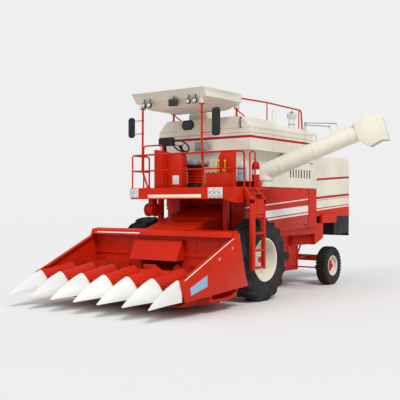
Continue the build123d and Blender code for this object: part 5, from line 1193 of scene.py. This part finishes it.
snout_white = enamel("snout_white", (0.8, 0.8, 0.77), 0.38, 0.1, 0.1, 0.7)
parts = []
for x in SNOUT_X:
    left, right = reach_sides(x, SNOUT_HALF)
    section = [(left * u, v) for u, v in CREST] + [(0, 1)] + [(-right * u, v) for u, v in CREST[::-1]]
    rings = []
    for k in range(SNOUT_RINGS):
        t = k / (SNOUT_RINGS - 1)
        size = 1 - 0.59 * t - 0.34 * t * t
        base = SNOUT_FLOOR - 0.031 * t - 0.026 * t * t
        blunt_end = ((SNOUT_BACK, 0.985), (SNOUT_BACK - 0.006, 1))
        for y, share in blunt_end if k == 0 else ((SNOUT_BACK - SNOUT_LENGTH * t, 1),):
            rings.append([(x + share * size * a, y, base + share * size * b * SNOUT_HEIGHT) for a, b in section])
    parts.append(grow(snout_white, rings, angle=28))
    parts += [bolt(zinc, (x + way * wide * (1.185 - 0.55 * rise), SNOUT_BACK - 0.05,
                          SNOUT_FLOOR + 0.93 * rise * SNOUT_HEIGHT), (way * 0.7, -0.1, 0.6), 0.006)
              for rise in (0.62, 0.8) for way, wide in ((1, left), (-1, right)) if wide > 0.2]
assemble("crested_snouts", "header", "white_paint", parts, "snouts")

# Row hoods
# Red pressed hoods that carry each snout's line up and back to the trough.
HOOD_HALF, HOOD_FOOT = 0.165, 0.38
HOOD_FRONT, HOOD_BACK = -2.7497, -2.0003
HOOD_TOP, HOOD_RISE = 0.612, 0.122
ROUND = [(1, 0.13), (0.95, 0.104), (0.84, 0.076), (0.66, 0.049), (0.46, 0.028), (0.28, 0.012), (0.14, 0.003)]
parts = []
for x in SNOUT_X:
    left, right = reach_sides(x, HOOD_HALF)
    rings = []
    for y, inset in ((HOOD_FRONT, 0.004), (-2.744, 0), (-2.55, 0), (-2.3, 0), (-2.006, 0), (HOOD_BACK, 0.004)):
        top = HOOD_TOP + HOOD_RISE * (y - HOOD_FRONT) / (HOOD_BACK - HOOD_FRONT) - inset
        rings.append([(x + left - inset, y, HOOD_FOOT)]
                     + [(x + (left - inset) * u, y, top - drop) for u, drop in ROUND]
                     + [(x, y, top)] + [(x - (right - inset) * u, y, top - drop) for u, drop in ROUND[::-1]]
                     + [(x - right + inset, y, HOOD_FOOT)])
    parts.append(grow(red, rings))
assemble("pressed_hoods", "header", "red_paint", parts, "row_hoods")

# Row units
# Between each pair of hoods: two deck plates with a slot, two roller chains with fingers that pull
# the stalks in, two ribbed snapping rolls below, and the gearbox. One is built and copied.
UNIT_HALF, SLOT_HALF, CHAIN_X = 0.1012, 0.022, 0.066
ROLL_X, ROLL_Z = 0.047, 0.34
SPROCKET = 0.018
LINKS = 34
CHAIN_FRONT, CHAIN_BACK = -2.666, -2.0943
RUN, BEND = CHAIN_BACK - CHAIN_FRONT, math.pi * SPROCKET
iron = rubber("dark_iron", (0.045, 0.043, 0.042), 0.1)
iron.node_tree.nodes["Principled BSDF"].inputs["Metallic"].default_value = 0.4
worn_steel = metal("worn_steel", (0.46, 0.45, 0.43), 0.38)


def chain_link(middle, k):
    """One link of a chain that runs back on its left side, round the sprocket and forward again."""
    half, rest = divmod(2 * (RUN + BEND) * k / LINKS, RUN + BEND)
    angle = max(0, rest - RUN) / SPROCKET
    spot = Vector((SPROCKET * math.cos(angle), min(rest, RUN) - RUN / 2 + SPROCKET * math.sin(angle)))
    way = Vector((-math.sin(angle), math.cos(angle)))
    if half:
        spot, way = -spot, -way
    spot += Vector((middle, (CHAIN_FRONT + CHAIN_BACK) / 2))
    across = Vector((-way.y, way.x))
    narrow, low, high = (0.0055, 0.4108, 0.4245) if k % 2 else (0.004, 0.4125, 0.4228)
    corners = [spot + way * a * 0.0185 + across * b * narrow for a, b in ((-1, -1), (1, -1), (1, 1), (-1, 1))]
    return prism(iron, corners, (low, high), axis=2, angle=30)


parts = [slab(red, (-UNIT_HALF, -2.1603, 0.29), (UNIT_HALF, -2.0003, 0.408), 0.01)]
parts += [bolt(zinc, (x, -2.14, 0.407), UP, 0.008) for x in (-0.07, 0.07)]
for side in (-1, 1):
    low, high = sorted((side * SLOT_HALF, side * UNIT_HALF))
    middle = side * CHAIN_X
    parts.append(slab(worn_steel, (low, -2.74, 0.4), (high, -2.1503, 0.4105)))
    parts += [chain_link(middle, k) for k in range(LINKS)]
    for y in (-2.64 + 0.1 * k for k in range(6)):
        finger = [[(x, y + front, low), (x, y + back, low), (x, y + back, high), (x, y + front, high)]
                  for x, front, back, low, high in ((middle - side * 0.02, 0, 0.02, 0.411, 0.43),
                                                    (middle - side * 0.048, 0.006, 0.016, 0.4115, 0.426))]
        parts.append(grow(iron, finger, angle=30))
    parts.append(lathe(iron, [(0, 0), (0.013, 0), (0.013, 0.01), (0, 0.01)], (middle, CHAIN_FRONT, 0.412), UP, 16))
    roll = [[(side * ROLL_X + size * radius * math.cos(turn), y, ROLL_Z + size * radius * math.sin(turn))
             for turn, radius in ((math.radians(60 * k + offset), radius) for k in range(6)
                                  for offset, radius in ((-7, 0.042), (7, 0.042), (20, 0.027), (40, 0.027)))]
            for y, size in ((-2.7, 0.35), (-2.64, 0.85), (-2.62, 1.0), (-2.1003, 1.0))]
    parts.append(grow(worn_steel, roll, angle=30))
unit = unite(parts)
units = []
for i in range(6):
    pick(unit)
    bpy.ops.object.duplicate()
    bpy.context.object.location.x = (i - 2.5) * ROW_PITCH
    units.append(bpy.context.object)
bpy.data.objects.remove(unit)
assemble("picking_units", "header", "dark_iron", units, "row_units")

# Cross auger
# Red tube with a left- and a right-hand flight edged with dark iron, and two paddles in the middle
# that throw the ears into the feeder.
AUGER_Y, AUGER_Z = -1.56, 0.52
FLIGHT_START, FLIGHT_STEP, STEPS_A_TURN = 0.56, 0.0125, 24
auger_middle = (0, AUGER_Y, AUGER_Z)
AUGER_TUBE = [(0, -1.62), (0.104, -1.62), (0.11, -1.614), (0.11, 1.614), (0.104, 1.62), (0, 1.62)]
SHAFT = [(0, -1.7045), (0.035, -1.7045), (0.035, 1.7045), (0, 1.7045)]


def flight(material, sign, half, inner, outer):
    """A band of plate wound round the auger: 3.5 turns outwards from the paddles."""
    rings = [[around((sign * (FLIGHT_START + FLIGHT_STEP * k) + w, AUGER_Y, AUGER_Z), radius,
                     math.tau * k / STEPS_A_TURN)
              for w, radius in ((-half, inner), (half, inner), (half, outer), (-half, outer))] for k in range(85)]
    return grow(material, rings, angle=40)


parts = [lathe(red, AUGER_TUBE, auger_middle, ACROSS, 40), lathe(zinc, SHAFT, auger_middle, ACROSS, 28)]
for sign in (-1, 1):
    low, high = sorted((sign * 0.104, sign * 0.2))
    parts += [flight(red, sign, 0.003, 0.106, 0.219), flight(iron, sign, 0.004, 0.216, 0.225),
              slab(red, (-0.16, AUGER_Y - 0.004, AUGER_Z + low), (0.16, AUGER_Y + 0.004, AUGER_Z + high), 0.002)]
    parts += [bolt(red, (x, AUGER_Y - 0.004, AUGER_Z + sign * 0.135), AHEAD, 0.008) for x in (-0.1, 0.1)]
assemble("flighted_auger", "cross_auger", "red_paint", parts, "cross_auger")
